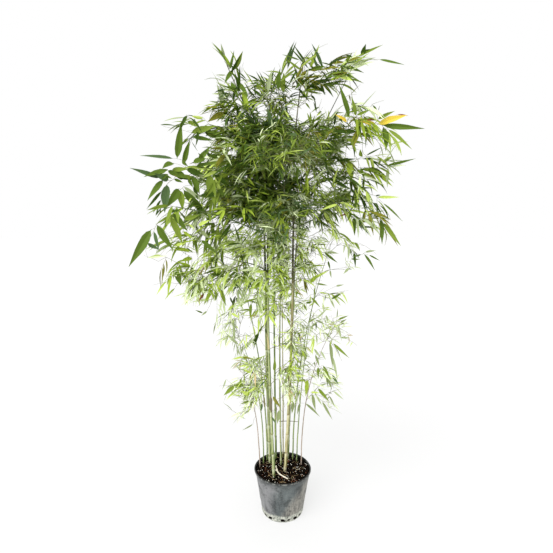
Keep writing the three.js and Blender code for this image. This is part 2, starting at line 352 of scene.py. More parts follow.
def setUpStudio():
    scene = bpy.context.scene
    lens = bpy.data.cameras.new("camera")
    lens.lens = view["lens"]
    lens.sensor_width = view["sensor"]
    lens.clip_start = view["nearest"]
    lens.clip_end = view["farthest"]
    camera = bpy.data.objects.new("camera", lens)
    camera.location = view["eye"]
    camera.rotation_euler = (math.radians(90 - view["lookDown"]), 0, 0)
    scene.collection.objects.link(camera)
    scene.camera = camera

    world = bpy.data.worlds.new("white studio")
    world.use_nodes = True
    background = world.node_tree.nodes["Background"]
    background.inputs["Color"].default_value = (1, 1, 1, 1)
    background.inputs["Strength"].default_value = studio["world"]
    scene.world = world
    scene.view_settings.view_transform = "Standard"

    softLight("key light", studio["keyFrom"], studio["keySpread"], studio["key"])

    layFloor()
    print("studio: camera, light and floor")


def layFloor():
    half = studio["floorSize"] / 2
    sheet = Shape()
    sheet.add([(-half, -half, 0), (half, -half, 0), (half, half, 0), (-half, half, 0)], [[(0, 1, 2, 3)]])
    paint = Finish("floor paint", baseColour=(*[studio["floorTone"]] * 3, 1), roughness=1, specular=0,
                   glow=studio["floorGlow"])
    floor = sheet.piece("floor", [paint.material], smooth=False)


setUpStudio()


# Pot

potShape = {
    "sheet": 0.0016,            # thickness of the plastic
    "rimProud": 0.0025,         # how far the rolled rim stands out from the wall
    "rimDrop": 0.0066,
    "footRadius": 0.114,
    "footHeight": 0.028,        # below this the wall turns in
    "footTurn": 0.007,
    "pushUp": 0.004,            # how much the middle of the underside is raised
    "around": 320,
    "wallRings": 40,
    "ringStep": 0.0015,         # height of one ring near the foot
    "fineRings": 17,            # how many rings stand that close
    "mouldLines": 8,
    "mouldLineDepth": 0.0005,
    "dent": 0.0014,
    "smoothBelow": (0.02, 0.08),    # heights between which the mould lines and dents set in
    "rimWave": 0.0012,
    "slots": 10,                # drain slots round the foot, each with a smaller hole beside it
    "slotLow": 0.005,
    "slotRings": 13,
    "slotCells": 10,            # width in cells of the grid
    "holeLow": 0.009,
    "holeRings": 9,
    "holeCells": 6,
    "holeOffset": 14,           # cells from a slot's middle to its smaller hole
    "lean": 0.7,                # how far an opening slants, as a share of its half width
    "openingTop": 0.03,         # no opening bends the grid above this height
}

potLow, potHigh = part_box("pot")
potHeight = potHigh.z
rimRadius = max(abs(potLow.x), abs(potHigh.x), abs(potLow.y), abs(potHigh.y))
wallTop = rimRadius - potShape["rimProud"]


def wallRadius(height):
    foot = potShape["footHeight"]
    share = (np.asarray(height, float) - foot) / (potHeight - foot)
    straight = potShape["footRadius"] + share * (wallTop - potShape["footRadius"])
    turned = np.clip(1 - np.asarray(height, float) / foot, 0, 1) ** 2.2
    return np.where(share > 0, straight, potShape["footRadius"] - potShape["footTurn"] * turned)


def potProfile():
    # radius and height of each ring, from the free edge of the rolled rim down to the middle of the
    # underside, and how many of the rings make the rim
    drop = potShape["rimDrop"]
    proud = potShape["rimProud"]
    rim = [
        (wallTop + proud, potHeight - drop),
        (wallTop + proud, potHeight - 0.5 * drop),
        (wallTop + 0.9 * proud, potHeight - 0.2 * drop),
        (wallTop + 0.55 * proud, potHeight - 0.04 * drop),
        (wallTop + 0.15 * proud, potHeight - 0.1 * drop),
        (wallTop - 0.1 * proud, potHeight - 0.4 * drop),
    ]
    step = potShape["ringStep"]
    fine = potShape["fineRings"]
    heights = list(np.linspace(potHeight - drop, (fine + 1) * step, potShape["wallRings"]))
    heights += [fine * step - step * i for i in range(fine + 1)]
    wall = [(float(wallRadius(h)), h) for h in heights]
    foot = wall[-1][0]
    shares = (0.97, 0.92, 0.86, 0.7, 0.4, 0.1)
    under = [(foot * share, potShape["pushUp"] * smoothStep(1 - share, 0.03, 0.12)) for share in shares]
    return np.array(rim + wall + under), len(rim)


def roundedOpening(turn, height, middleHeight, halfTurn, halfHeight, lean):
    # moves the grid round an opening so that its outline is a rounded and slanting one
    u = turn / halfTurn
    v = (height - middleHeight) / halfHeight
    square = np.maximum(abs(u), abs(v))
    rounded = (abs(u) ** 3 + abs(v) ** 3) ** (1 / 3)
    share = np.clip(2 - square, 0, 1)
    factor = 1 + (square / np.maximum(rounded, 1e-6) - 1) * share * (square > 0)
    newTurn = (u * factor + lean * np.clip(v, -1, 1) * share) * halfTurn
    newHeight = middleHeight + v * factor * halfHeight
    return newTurn, height + (newHeight - height) * smoothStep(height, 0, 0.003)


def potOpenings():
    # each drain slot and the smaller hole beside it: middle, cells wide, foot, rings high, lean
    openings = []
    spacing = potShape["around"] // potShape["slots"]
    for i in range(potShape["slots"]):
        middle = i * spacing + spacing // 2
        lean = potShape["lean"] * math.sin(2.3 * i)
        openings.append((middle, potShape["slotCells"], potShape["slotLow"], potShape["slotRings"], lean))
        hole = middle + potShape["holeOffset"] * (1 if i % 3 else -1)
        openings.append((hole, potShape["holeCells"], potShape["holeLow"], potShape["holeRings"], -lean))
    return openings


def bendRoundOpenings(turn, height, wallRow):
    # the grid bent round each opening, and which of its cells are cut away
    cell = 2 * math.pi / potShape["around"]
    cut = np.zeros((len(height) - 1, potShape["around"]), bool)
    for middle, cells, low, count, lean in potOpenings():
        halfTurn = cells / 2 * cell
        halfHeight = potShape["ringStep"] * count / 2
        middleHeight = low + halfHeight
        away = (turn - middle * cell + math.pi) % (2 * math.pi) - math.pi
        near = (abs(away) < 2 * halfTurn) & wallRow[:, None] & (height < potShape["openingTop"])
        newTurn, newHeight = roundedOpening(away, height, middleHeight, halfTurn, halfHeight, lean)
        cellTurn = away + cell / 2
        cellHeight = (height[:-1] + height[1:]) / 2
        inside = (abs(cellTurn[:-1]) < halfTurn) & (abs(cellHeight - middleHeight) < halfHeight)
        cut |= inside & wallRow[:-1, None] & wallRow[1:, None]
        height = np.where(near, newHeight, height)
        turn = np.where(near, turn + newTurn - away, turn)
    return turn, height, cut


def wornWall(turn, height, radius):
    # mould lines, shallow dents and a wavy rim
    upper = smoothStep(height, *potShape["smoothBelow"])
    line = np.cos(turn * potShape["mouldLines"] / 2 + 0.6) ** 2
    radius = radius - potShape["mouldLineDepth"] * (1 - smoothStep(line, 0, 0.03)) * upper
    dents = np.array([[unevenness((math.cos(t), math.sin(t), h * 9), 1.6, 3.1) for t, h in zip(a, b)]
                      for a, b in zip(turn, height)])
    wave = np.array([unevenness((math.cos(t), math.sin(t), 0), 2.2, 8.4) for t in turn[0]])
    height = height + potShape["rimWave"] * wave * smoothStep(height, 0.2, potHeight)
    return radius + potShape["dent"] * dents * upper, np.minimum(height, potHeight)


def thickened(sheet, name):
    # a solid object made from an open sheet
    outer = sheet.piece("sheet", [])
    thicken = outer.modifiers.new("thickness", "SOLIDIFY")
    thicken.thickness = potShape["sheet"]
    thicken.offset = -1
    thicken.use_even_offset = True
    solid = bpy.data.meshes.new_from_object(outer.evaluated_get(bpy.context.evaluated_depsgraph_get()))
    bpy.data.objects.remove(outer)
    made = bpy.data.objects.new(name, solid)
    bpy.context.scene.collection.objects.link(made)
    return made


def buildPot():
    around = potShape["around"]
    profile, rimRings = potProfile()
    rings = len(profile)
    turn = np.tile(np.arange(around) * (2 * math.pi / around), (rings, 1))
    height = np.tile(profile[:, 1:], (1, around))
    wallRow = np.array([abs(r - float(wallRadius(h))) < 1e-6 for r, h in profile])
    turn, height, cut = bendRoundOpenings(turn, height, wallRow)
    radius = np.where(wallRow[:, None], wallRadius(height), profile[:, :1])
    radius, height = wornWall(turn, height, radius)
    points = np.stack([radius * np.cos(turn), radius * np.sin(turn), height], -1).reshape(-1, 3)
    quads = np.roll(ringFaces(rings, around, closed=False)[0][:, ::-1], 1, axis=1)[~cut.ravel()]
    sheet = Shape()
    sheet.add(points, [quads, [(rings - 1) * around + np.arange(around)]])
    pot = thickened(sheet, "nursery_pot")
    solid = pot.data
    within = solid.attributes.new("within", "FLOAT", "POINT")
    inner = np.arange(len(solid.vertices)) >= len(points) + rimRings * around
    within.data.foreach_set("value", inner.astype(np.float32))
    solid.materials.clear()
    solid.materials.append(potPlastic())
    standFor(pot, "pot", "pot")
    print("pot:", len(solid.polygons), "faces")


potLook = {
    # pairs are the two tones of one finish, and the heights between which it sets in, in metres
    "wall": ("#373d3f", "#656d6d"),
    "greyFlank": ("#5a5c5e", "#9a9a9b"),
    "smear": ("#65635c", "#a6a298"),
    # painted shade: a dark belt on the upper wall under the rolled rim, where the rim's shadow falls
    "shadeUnderRim": "#3b4041",
    "shadeUnderRimFrom": (0.215, 0.252),
    "dust": "#b3b3ab",
    "grime": "#2f3332",
    # the lip's pale flecks are partly dust and partly painted glints
    "lipDustAndGlints": ("#3a3d3c", "#a5a8a2"),
    "lipFrom": (0.2425, 0.2440),
    # painted shade: a near-black line along the rim's rounded top
    "rimTopShade": "#131312",
    "rimTopShadeFrom": (0.2494, 0.2503),
    "crust": ("#737970", "#dfe0d2"),
    "crustEnds": (0.052, 0.064),
    "stain": "#2d322c",
    # painted shade: the inside wall of the pot is painted near black, darker than the plastic itself
    "inside": "#0e0c0b",
}


def potPlastic():
    # dark plastic under specks of dust and grime with lighter grey patches at the sides, a mineral crust
    # round the foot, and painted shade under the rim, along its top and inside
    finish = Finish("dusty pot plastic")
    height = finish.side(2)
    east = finish.side(0)
    place = finish.place()
    cloud = finish.grain(place, 9, 4, 0.6)
    streak = finish.grain(finish.stretched((26, 26, 2.4)), 1.6, 4, 0.62)
    hair = finish.grain(finish.stretched((170, 170, 5)), 1.0, 3, 0.6)
    fine = finish.grain(place, 260, 3, 0.7)
    worn = finish.ramp(cloud * 0.5 + streak * 0.5, (0.38, 0.0), (0.62, 1.0))
    colour = finish.mixed(worn, *potLook["wall"])
    flank = finish.mixed(streak, *potLook["greyFlank"])
    colour = finish.over(colour, flank, cloud * 0.11 + streak * 0.05 - east + 0.12, 0.225, 0.275)
    smear = finish.mixed(finish.ramp(hair, (0.35, 0.0), (0.7, 1.0)), *potLook["smear"])
    slanting = east - height * 0.6 + cloud * 0.08 + streak * 0.03 + 0.17
    colour = finish.over(colour, smear, slanting, 0.178, 0.222, 0.9)
    # painted shade under the rolled rim darkens the upper wall
    colour = finish.over(colour, potLook["shadeUnderRim"], height + streak * 0.02, *potLook["shadeUnderRimFrom"], 0.75)
    colour = finish.over(colour, potLook["dust"], fine, 0.5, 0.75, 0.3)
    colour = finish.over(colour, potLook["grime"], finish.grain(place, 24, 5, 0.7), 0.49, 0.62, 0.7)
    # pale flecks on the lip: partly dust, partly painted glints
    lipDustAndGlints = finish.ramp(finish.grain(place, 70, 4, 0.7), (0.47, 0.0), (0.60, 1.0))
    colour = finish.over(colour, finish.mixed(lipDustAndGlints, *potLook["lipDustAndGlints"]), height, *potLook["lipFrom"])
    # painted shade along the top edge of the rim
    colour = finish.over(colour, potLook["rimTopShade"], height + streak * 0.003, *potLook["rimTopShadeFrom"])
    low, high = potLook["crustEnds"]
    crust = finish.ramp(height + finish.grain(place, 20, 4, 0.65) * 0.034, (low, 1.0), (high, 0.0))
    speckled = finish.ramp(finish.grain(place, 105, 5, 0.75), (0.38, 0.0), (0.62, 1.0))
    crustColour = finish.mixed(speckled, *potLook["crust"])
    crustColour = finish.over(crustColour, potLook["stain"], finish.grain(place, 70, 3, 0.6), 0.57, 0.66, 0.8)
    colour = finish.mixed(crust * 0.95, colour, crustColour)
    # painted shade: the inside wall, marked within, is painted near black
    colour = finish.mixed(finish.mark("within"), colour, potLook["inside"])
    finish.feed(baseColour=colour, roughness=worn * 0.15 + crust * 0.3 + 0.42, specular=0.35,
                normal=finish.relief(fine * 0.5 + cloud * 1.5, 0.0006, 0.5))
    return finish.material


# Soil

soilShape = {
    "rings": 46,
    "around": 150,
    "edgeRise": 0.001,      # how much higher the soil stands at the wall
    "sink": 0.001,          # how far its middle lies below the top of the solid
    "lumps": 0.0042,
    "grit": 0.0018,
    "gap": 0.0006,          # clearance to the wall
    "sideHeights": (0.16, 0.08, 0.03, 0.006),
    "tones": ("#040302", "#150e09"),
    "speck": "#5c4534",
}

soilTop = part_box("soil")[1].z


def innerWall(height):
    return wallRadius(height) - potShape["sheet"] - potShape["dent"] * 0.7 - soilShape["gap"]


def soilLevel(x, y):
    share = math.hypot(x, y) / wallTop
    level = soilTop - soilShape["sink"] + soilShape["edgeRise"] * share**2
    lumps = unevenness((x, y, 0), 34, 5.0) * soilShape["lumps"]
    grit = unevenness((x, y, 0), 150, 9.0, 2) * soilShape["grit"]
    return level + lumps + grit


def buildSoil():
    # a closed body: its uneven top, its side along the wall and its flat bottom
    around = soilShape["around"]
    turns = np.arange(around) * 2 * math.pi / around
    edge = float(innerWall(soilTop + soilShape["edgeRise"]))
    points = []
    for share in np.linspace(0.02, 1, soilShape["rings"]) ** 0.8:
        ring = [(edge * share * math.cos(t), edge * share * math.sin(t)) for t in turns]
        points.append([(x, y, soilLevel(x, y)) for x, y in ring])
    for height in soilShape["sideHeights"]:
        radius = float(innerWall(height))
        points.append([(radius * math.cos(t), radius * math.sin(t), height) for t in turns])
    points = np.array(points)
    faces = ringFaces(len(points), around)
    body = Shape()
    body.add(points.reshape(-1, 3), [f[:, ::-1] for f in faces])
    soil = body.piece("bark_soil", [soilFinish()])
    standFor(soil, "soil", "soil")
    print("soil:", len(soil.data.polygons), "faces")


def soilFinish():
    finish = Finish("composted bark")
    place = finish.place()
    crumbs = finish.cells(place, 190)
    cloud = finish.grain(place, 30, 4, 0.6)
    speck = finish.grain(place, 420, 3, 0.7)
    colour = finish.over(finish.mixed(cloud, *soilShape["tones"]), soilShape["speck"], speck, 0.60, 0.74, 0.7)
    finish.feed(baseColour=colour, roughness=1.0, specular=0.05,
                normal=finish.relief(crumbs * 0.8 + speck * 0.5, 0.003, 0.9))
    return finish.material


litter = {
    "seed": 41,
    "chips": 1700,
    "chipSides": 6,
    "chipLength": (0.004, 0.017),
    "chipTints": {"#040302": 9, "#080503": 7, "#130c07": 3, "#331e14": 1.5, "#5e3526": 1.1, "#8a6a55": 0.3},
    "straws": 95,
    "strawMargin": 0.022,   # how far from the wall the middle of a straw stays
    "strawLength": (0.008, 0.030),
    "strawTints": {"#c2a97c": 3, "#8c6a48": 2.5, "#e2d6b4": 2},
    "grits": 90,
    "gritSize": (0.0012, 0.0027),
    "gritTint": "#d9d6cb",
}


def scattered(rng, margin=0.006):
    # an even random spot on the soil
    radius = (float(innerWall(soilTop)) - margin) * math.sqrt(rng.random())
    turn = rng.random() * 2 * math.pi
    return radius * math.cos(turn), radius * math.sin(turn)


def tintChooser(tints):
    names = list(tints)
    weights = np.array([tints[n] for n in names], float)
    return names, weights / weights.sum()


def randomTurn(rng, tilt):
    # three axes: mostly level, tipped by about tilt
    up = unit(upward + rng.normal(0, tilt, 3) * (1, 1, 0))
    ahead = across(rng.normal(0, 1, 3), up)
    return ahead, np.cross(up, ahead), up


def buildChips(rng):
    chips = Shape()
    names, weights = tintChooser(litter["chipTints"])
    sides = litter["chipSides"]
    for _ in range(litter["chips"]):
        x, y = scattered(rng)
        length = rng.uniform(*litter["chipLength"]) * rng.uniform(0.5, 1)
        breadth = length * rng.uniform(0.28, 0.62)
        thick = length * rng.uniform(0.10, 0.26)
        ahead, side, up = randomTurn(rng, 0.45)
        turns = (np.arange(sides) + rng.uniform(-0.3, 0.3, sides)) * 2 * math.pi / sides
        outline = np.stack([np.cos(turns) * length, np.sin(turns) * breadth], 1)
        outline *= rng.uniform(0.35, 0.6, (sides, 1))
        middle = np.array((x, y, soilLevel(x, y) + thick * 0.35))
        flat = middle + outline[:, :1] * ahead + outline[:, 1:] * side
        top = flat + up * thick / 2 * rng.uniform(0.5, 1.1, (sides, 1)) + 0.1 * (middle - flat)
        base = flat - up * thick / 2 * rng.uniform(0.5, 1.1, (sides, 1))
        chips.add(np.concatenate([base, top]), ringFaces(2, sides), slot=rng.choice(len(names), p=weights))
    finishes = [plainFinish(f"bark {n[1:]}", n, 1.0, 0.05) for n in names]
    standFor(chips.piece("bark_chips", finishes, smooth=False), "soil")


def buildStraws(rng):
    straws = Shape()
    names, weights = tintChooser(litter["strawTints"])
    for _ in range(litter["straws"]):
        x, y = scattered(rng, litter["strawMargin"])
        length = rng.uniform(*litter["strawLength"])
        ahead, side, _ = randomTurn(rng, 0.18)
        bend = rng.normal(0, 0.14) * length
        shares = np.linspace(-0.5, 0.5, 5)[:, None]
        line = np.array((x, y, soilLevel(x, y) + 0.0016)) + shares * length * ahead
        line += (shares**2 - 0.1) * bend * side
        line[:, 2] = np.maximum(line[:, 2], [soilLevel(px, py) + 0.0008 for px, py in line[:, :2]])
        thick = rng.uniform(0.0004, 0.0009)
        points, faces = tube(line, thick * np.array((0.6, 1, 1, 1, 0.5)), 5)
        straws.add(points, faces, slot=rng.choice(len(names), p=weights))
    finishes = [plainFinish(f"straw {n[1:]}", n, 0.7) for n in names]
    standFor(straws.piece("straw_bits", finishes), "soil")


def buildGrits(rng):
    grits = Shape()
    shares = np.array((-0.95, -0.55, 0.1, 0.65, 0.98))
    for _ in range(litter["grits"]):
        x, y = scattered(rng)
        size = rng.uniform(*litter["gritSize"])
        line = np.array((x, y, soilLevel(x, y) + size * 0.6)) + shares[:, None] * size * upward
        points, faces = tube(line, size * np.sqrt(1 - shares**2), 7)
        grits.add(points + rng.normal(0, size * 0.14, points.shape), faces)
    standFor(grits.piece("perlite_grit", [plainFinish("perlite", litter["gritTint"], 0.8)]), "soil")


def buildLitter():
    rng = np.random.default_rng(litter["seed"])
    buildChips(rng)
    buildStraws(rng)
    buildGrits(rng)
    print("litter: chips, straws and grit")


dryStalk = {
    # a broken piece of cane lying on the soil: x, y and the rise above the soil, in metres
    "line": [(-0.0314, -0.021, 0.013), (-0.025, -0.044, 0.010), (-0.004, -0.070, 0.008),
             (0.026, -0.094, 0.006)],
    "fork": [(-0.0314, -0.021, 0.013), (-0.034, -0.008, 0.016), (-0.035, 0.004, 0.021)],
    "stub": [(-0.030, -0.030, 0.012), (-0.036, -0.030, 0.014), (-0.043, -0.027, 0.017)],
    "branches": {"line": (1.0, 26), "fork": (0.62, 12), "stub": (0.5, 10)},    # thickness and rings
    "radius": 0.0040,
    "tones": ("#e6dabb", "#fdf8ea"),
}


def buildDryStalk():
    stalk = Shape()
    for name, (thick, count) in dryStalk["branches"].items():
        knots = [(x, y, soilLevel(x, y) + rise) for x, y, rise in dryStalk[name]]
        line = smoothLine(knots, count)
        share = np.linspace(0, 1, count)
        swell = 1 + 0.22 * bump(share, 0.33, 0.03) + 0.18 * bump(share, 0.78, 0.025)
        radii = dryStalk["radius"] * thick * swell * (1 - 0.25 * share)
        radii[-1] *= 0.7
        stalk.add(*tube(line, radii, 12))
    finish = Finish("dry stalk")
    streaks = finish.grain(finish.place(), 160, 4, 0.6)
    finish.feed(baseColour=finish.mixed(streaks, *dryStalk["tones"]), roughness=0.55,
                normal=finish.relief(streaks, 0.0006, 0.5))
    standFor(stalk.piece("dry_stalk", [finish.material]), "culm")


buildPot()
buildSoil()
buildLitter()
buildDryStalk()


# Culms

culmShape = {
    "firstSeed": 100,
    "sides": 20,
    "thinSides": 10,            # for a cane under thinBelow in radius
    "thinBelow": 0.005,
    "boughSides": 8,
    "boughJoints": 0.055,       # from joint to joint of a bough
    "firstJoint": 0.045,        # height of the lowest joint above the soil
    "jointGap": (0.075, 0.190, 0.085),   # at the foot, in the middle and at the tip
    "tipClear": 0.05,           # no joint lies this near the tip of a culm
    "atJoint": (-12, -5, -2.2, -1.1, 0, 1.1, 2.4, 4.2, 6.5, 10, 16),     # rings of points, in mm from it
    "between": 0.03,            # from ring to ring away from the joints
    "fullRadius": 0.006,        # a thinner cane has smaller joints, but no smaller than smallest
    "smallest": 0.35,
    "ridge": 0.08,              # how proud a joint's sheath scar stands, as a share of the radius
    "swelling": 0.05,
    "waist": 0.03,
    "stripesAndShadeBands": [(0.80, -0.60, 0.0), (-0.75, 0.66, 0.0)],    # which way the broad bands of painted shade face
    "footSlim": 0.26,           # how much slimmer a cane is where it leaves the soil
    "footFade": 0.07,
    # painted shade: a cane is darker on the side that faces away from the key light
    "shadeFrom": (0.75, 0.35, -0.1),     # the side that is deeper in tone
    "crownShadeFrom": (1.20, 1.34),  # heights between which a cane turns to its upper colour, painted shade under the crown
    "zigzag": 0.10,             # how far the cane steps aside at a joint, as a share of its radius
}

# the upper tone is painted shade for the stretch of each cane under the crown
culmSkins = {
    "sunny": {"light": "#dde0b0", "deep": "#7d8c4a", "bloom": "#e3e8d0", "ridge": "#7d7646",
              "upper": "#272c13", "stripe": "#4f6a28"},
    "golden": {"light": "#e4dfb0", "deep": "#94894e", "bloom": "#ece8cf", "ridge": "#8a6f4c",
               "upper": "#171208", "stripe": "#6f6a35"},
    "leafy": {"light": "#bccb86", "deep": "#69813f", "bloom": "#c3cfae", "ridge": "#50502c",
              "upper": "#3b4a1e", "stripe": "#53702c"},
    "rosy": {"light": "#c9b3a5", "deep": "#8e8068", "bloom": "#ddd3cb", "ridge": "#836353",
             "upper": "#6d7440", "stripe": "#8c7d66"},
}

# what is laid over a cane, from first to last: the mark of its points, how strong, and its tone
# the stripe mark is partly painted shade, the shade mark is painted shade on the side away from the key
# light, and the high mark is painted shade under the crown
caneMarks = [("stripe", 0.85, "stripe"), ("shade", 0.5, "deep"), ("high", 0.85, "upper"),
             ("bloom", 0.4, "bloom"), ("scar", 0.8, "ridge")]

culmSkinOf = {
    "left_tall": "sunny", "front_tall": "sunny", "right_tall": "golden", "right_back": "sunny",
    "back_tall": "leafy", "centre": "sunny", "left_mid": "leafy", "left_outer": "leafy",
    "left_short": "rosy", "back_mid": "golden", "back_right": "leafy", "right_mid": "leafy",
    "right_outer": "rosy",
}


def limbRings(name):
    # the centre and radius of each ring of corners of a tapering CAD limb, from its thick end
    points = np.unique(nodePoints(name).round(6), axis=0)
    middle = points.mean(0)
    axis = np.linalg.svd(points - middle, full_matrices=False)[2][0]
    along = (points - middle) @ axis
    order = np.argsort(along)
    breaks = np.flatnonzero(np.diff(along[order]) > 0.02) + 1
    rings = [points[r] for r in np.split(order, breaks)]
    rows = [np.append(r.mean(0), np.linalg.norm(r - r.mean(0), axis=1).mean()) for r in rings]
    if rows[0][3] < rows[-1][3]:
        rows.reverse()
    return np.array(rows)


def limbLength(rings):
    return np.linalg.norm(np.diff(rings[:, :3], axis=0), axis=1).sum()


def fineLimb(rings):
    # a close line through the rings with its radii, and the distance along it
    fine = smoothLine(rings, 400)
    steps = np.linalg.norm(np.diff(fine[:, :3], axis=0), axis=1)
    return fine, np.concatenate([[0], np.cumsum(steps)])


def alongLimb(fine, far, at):
    # the places and radii of a limb at the distances at
    return np.stack([np.interp(at, far, fine[:, k]) for k in range(4)], 1)


def evenLimb(rings, count):
    fine, far = fineLimb(rings)
    return alongLimb(fine, far, np.linspace(0, far[-1], count))


def jointDistances(length, rng):
    first, middle, last = culmShape["jointGap"]
    size = smoothStep(length, 0.3, 2.0) * 0.45 + 0.55       # a short culm has closer joints
    places = [culmShape["firstJoint"] * rng.uniform(0.7, 1.3)]
    while places[-1] < length - culmShape["tipClear"]:
        share = places[-1] / length
        gap = np.interp(share, (0, 0.3, 0.6, 1), (first, middle, middle, last)) * size
        places.append(places[-1] + gap * rng.uniform(0.9, 1.1))
    return np.array(places[:-1])


def stripesAndShadeBands(outward, at, joints):
    # a broad dark green band up each of two set sides of a cane is painted shade, darkening its right half
    # seen from the front; the finer stripes that change at each joint are the cane's own
    story = np.searchsorted(joints, at) * 7.3
    uneven = np.array([unevenness((x * 2.2, y * 2.2, level), 1.0, 2.0, 2)
                       for (x, y, _), level in zip(outward, story)])
    broad = [smoothStep(outward @ unit(way) + uneven * 0.2, 0.62, 0.80) for way in culmShape["stripesAndShadeBands"]]
    return np.maximum(np.max(broad, axis=0), 0.55 * smoothStep(uneven, 0.12, 0.22))


def jointedCane(shape, rings, joints, sides, slim=0.0):
    # a cane with a scar ridge, a swelling and a waist at each joint; gives its joints' places back
    fine, far = fineLimb(rings)
    offsets = np.array(culmShape["atJoint"]) / 1000
    small = np.clip(np.median(fine[:, 3]) / culmShape["fullRadius"], culmShape["smallest"], 1)
    stations = [joint + offsets * small for joint in joints]
    middles = (joints[:-1] + joints[1:]) / 2
    evenly = np.linspace(0, far[-1], max(8, int(far[-1] / culmShape["between"])))
    at = np.unique(np.clip(np.concatenate(stations + [middles, evenly]), 0, far[-1]).round(5))
    rows = alongLimb(fine, far, at)
    near = at[:, None] - joints[None, :]
    ridge = bump(near, 0, 0.0011 * small).max(1) * culmShape["ridge"]
    swelling = bump(near, 0.0046 * small, 0.003 * small).max(1) * culmShape["swelling"]
    waist = bump(near, 0.015 * small, 0.008 * small).max(1) * culmShape["waist"]
    radii = rows[:, 3] * (1 + ridge + swelling - waist) * (1 - slim * np.exp(-at / culmShape["footFade"]))
    side = across(np.array((0.8, 0.6, 0)), unit(rows[-1, :3] - rows[0, :3]))
    step = np.searchsorted(joints, at) % 2 * 2 - 1
    line = rows[:, :3] + (culmShape["zigzag"] * rows[:, 3] * step)[:, None] * side
    points, faces = tube(line, radii, sides)
    outward = unit(points - np.repeat(line, sides, axis=0))
    # painted shade on the side away from the key light
    shade = smoothStep(outward @ unit(culmShape["shadeFrom"]), -0.1, 0.9)
    scar = bump(near, 0, 0.0016 * small).max(1)
    bloom = (bump(near, -0.009 * small, 0.0075 * small) * (near < 0)).max(1)
    # the stripe mark carries painted shade in its broad bands and the cane's own stripes in its fine ones
    shape.add(points, faces, scar=np.repeat(scar, sides), bloom=np.repeat(bloom, sides), shade=shade,
              # high: painted shade where the cane runs under the crown
              high=smoothStep(points[:, 2], *culmShape["crownShadeFrom"]),
              stripe=stripesAndShadeBands(outward, np.repeat(at, sides), joints))
    return alongLimb(fine, far, joints)


def caneFinish(name, skin):
    finish = Finish(name)
    fibres = finish.grain(finish.stretched((420, 420, 4)), 1.0, 4, 0.6)
    blotches = finish.grain(finish.stretched((60, 60, 9)), 1.0, 3, 0.5)
    fleck = finish.grain(finish.stretched((260, 260, 120)), 1.0, 2, 0.5)
    body = finish.over(skin["deep"], skin["light"], fibres * 0.6 + blotches * 0.4, 0.40, 0.56)
    body = finish.over(body, skin["ridge"], fleck, 0.66, 0.74, 0.5)
    # stripe, shade and high lay painted shade over the cane; bloom and scar are its own
    for mark, strength, tone in caneMarks:
        body = finish.mixed(finish.mark(mark) * strength, body, skin[tone])
    finish.feed(baseColour=body, roughness=finish.mark("bloom") * 0.3 + fibres * 0.16 + 0.3,
                normal=finish.relief(fibres, 0.0004, 0.35), specular=0.35)
    return finish.material


culmJoints = {}     # name of a culm: a row for each of its joints, with its place and radius
limbLines = {}      # name of a culm or bough: its line, evenly stepped


def buildCulms():
    finishes = {key: caneFinish(f"{key} cane", skin) for key, skin in culmSkins.items()}
    faces = 0
    for index, (name, skin) in enumerate(culmSkinOf.items()):
        rng = np.random.default_rng(culmShape["firstSeed"] + index)
        rings = limbRings(f"culm_{name}")
        joints = jointDistances(limbLength(rings), rng)
        shape = Shape()
        sides = culmShape["sides"] if rings[0, 3] > culmShape["thinBelow"] else culmShape["thinSides"]
        culmJoints[name] = jointedCane(shape, rings, joints, sides, culmShape["footSlim"])
        limbLines[name] = evenLimb(rings, 60)
        piece = shape.piece(f"cane_{name}", [finishes[skin]])
        standFor(piece, "culm", f"culm_{name}")
        faces += len(piece.data.polygons)
    print("culms:", len(culmJoints), "with", faces, "faces")


def buildBoughs():
    finish = caneFinish("side bough", culmSkins["leafy"])
    names = sorted(n.removeprefix("bough_") for n in frame["nodes"] if n.startswith("bough_"))
    for name in names:
        rings = limbRings(f"bough_{name}")
        joints = np.arange(0.03, limbLength(rings) - 0.02, culmShape["boughJoints"])
        shape = Shape()
        jointedCane(shape, rings, joints, culmShape["boughSides"])
        limbLines[f"bough {name}"] = evenLimb(rings, 14)
        standFor(shape.piece(f"branch_{name}", [finish]), "bough", f"bough_{name}")
    print("boughs:", len(names))


sheaths = {
    "seed": 77,
    "stations": 9,
    "columns": 9,
    "dryTone": "#e4dcb8",
    # culm, height of the sheath's foot, length, how far round it wraps in radians, colour
    "old": [
        ("front_tall", 0.640, 0.085, 4.6, "#4d4829"), ("front_tall", 1.020, 0.090, 3.6, "#b9ad78"),
        ("left_tall", 0.800, 0.085, 3.8, "#c8bd8c"), ("left_tall", 0.395, 0.070, 3.2, "#9d8f5c"),
        ("right_tall", 0.700, 0.090, 3.9, "#c3b784"), ("right_tall", 1.130, 0.085, 3.5, "#8b7d4a"),
        ("right_back", 0.560, 0.080, 3.4, "#b3a671"), ("back_tall", 0.470, 0.075, 3.4, "#a79a66"),
        ("centre", 0.900, 0.070, 3.2, "#c5ba8a"), ("left_mid", 0.610, 0.060, 3.0, "#98905c"),
    ],
}

snappedTwig = {
    "rings": 16,
    "line": [(-0.018, 0.040, 0.494), (0.015, 0.030, 0.502), (0.045, 0.012, 0.511), (0.080, 0.000, 0.514)],
    "radius": 0.0018,
    "colour": "#5c5a34",
}


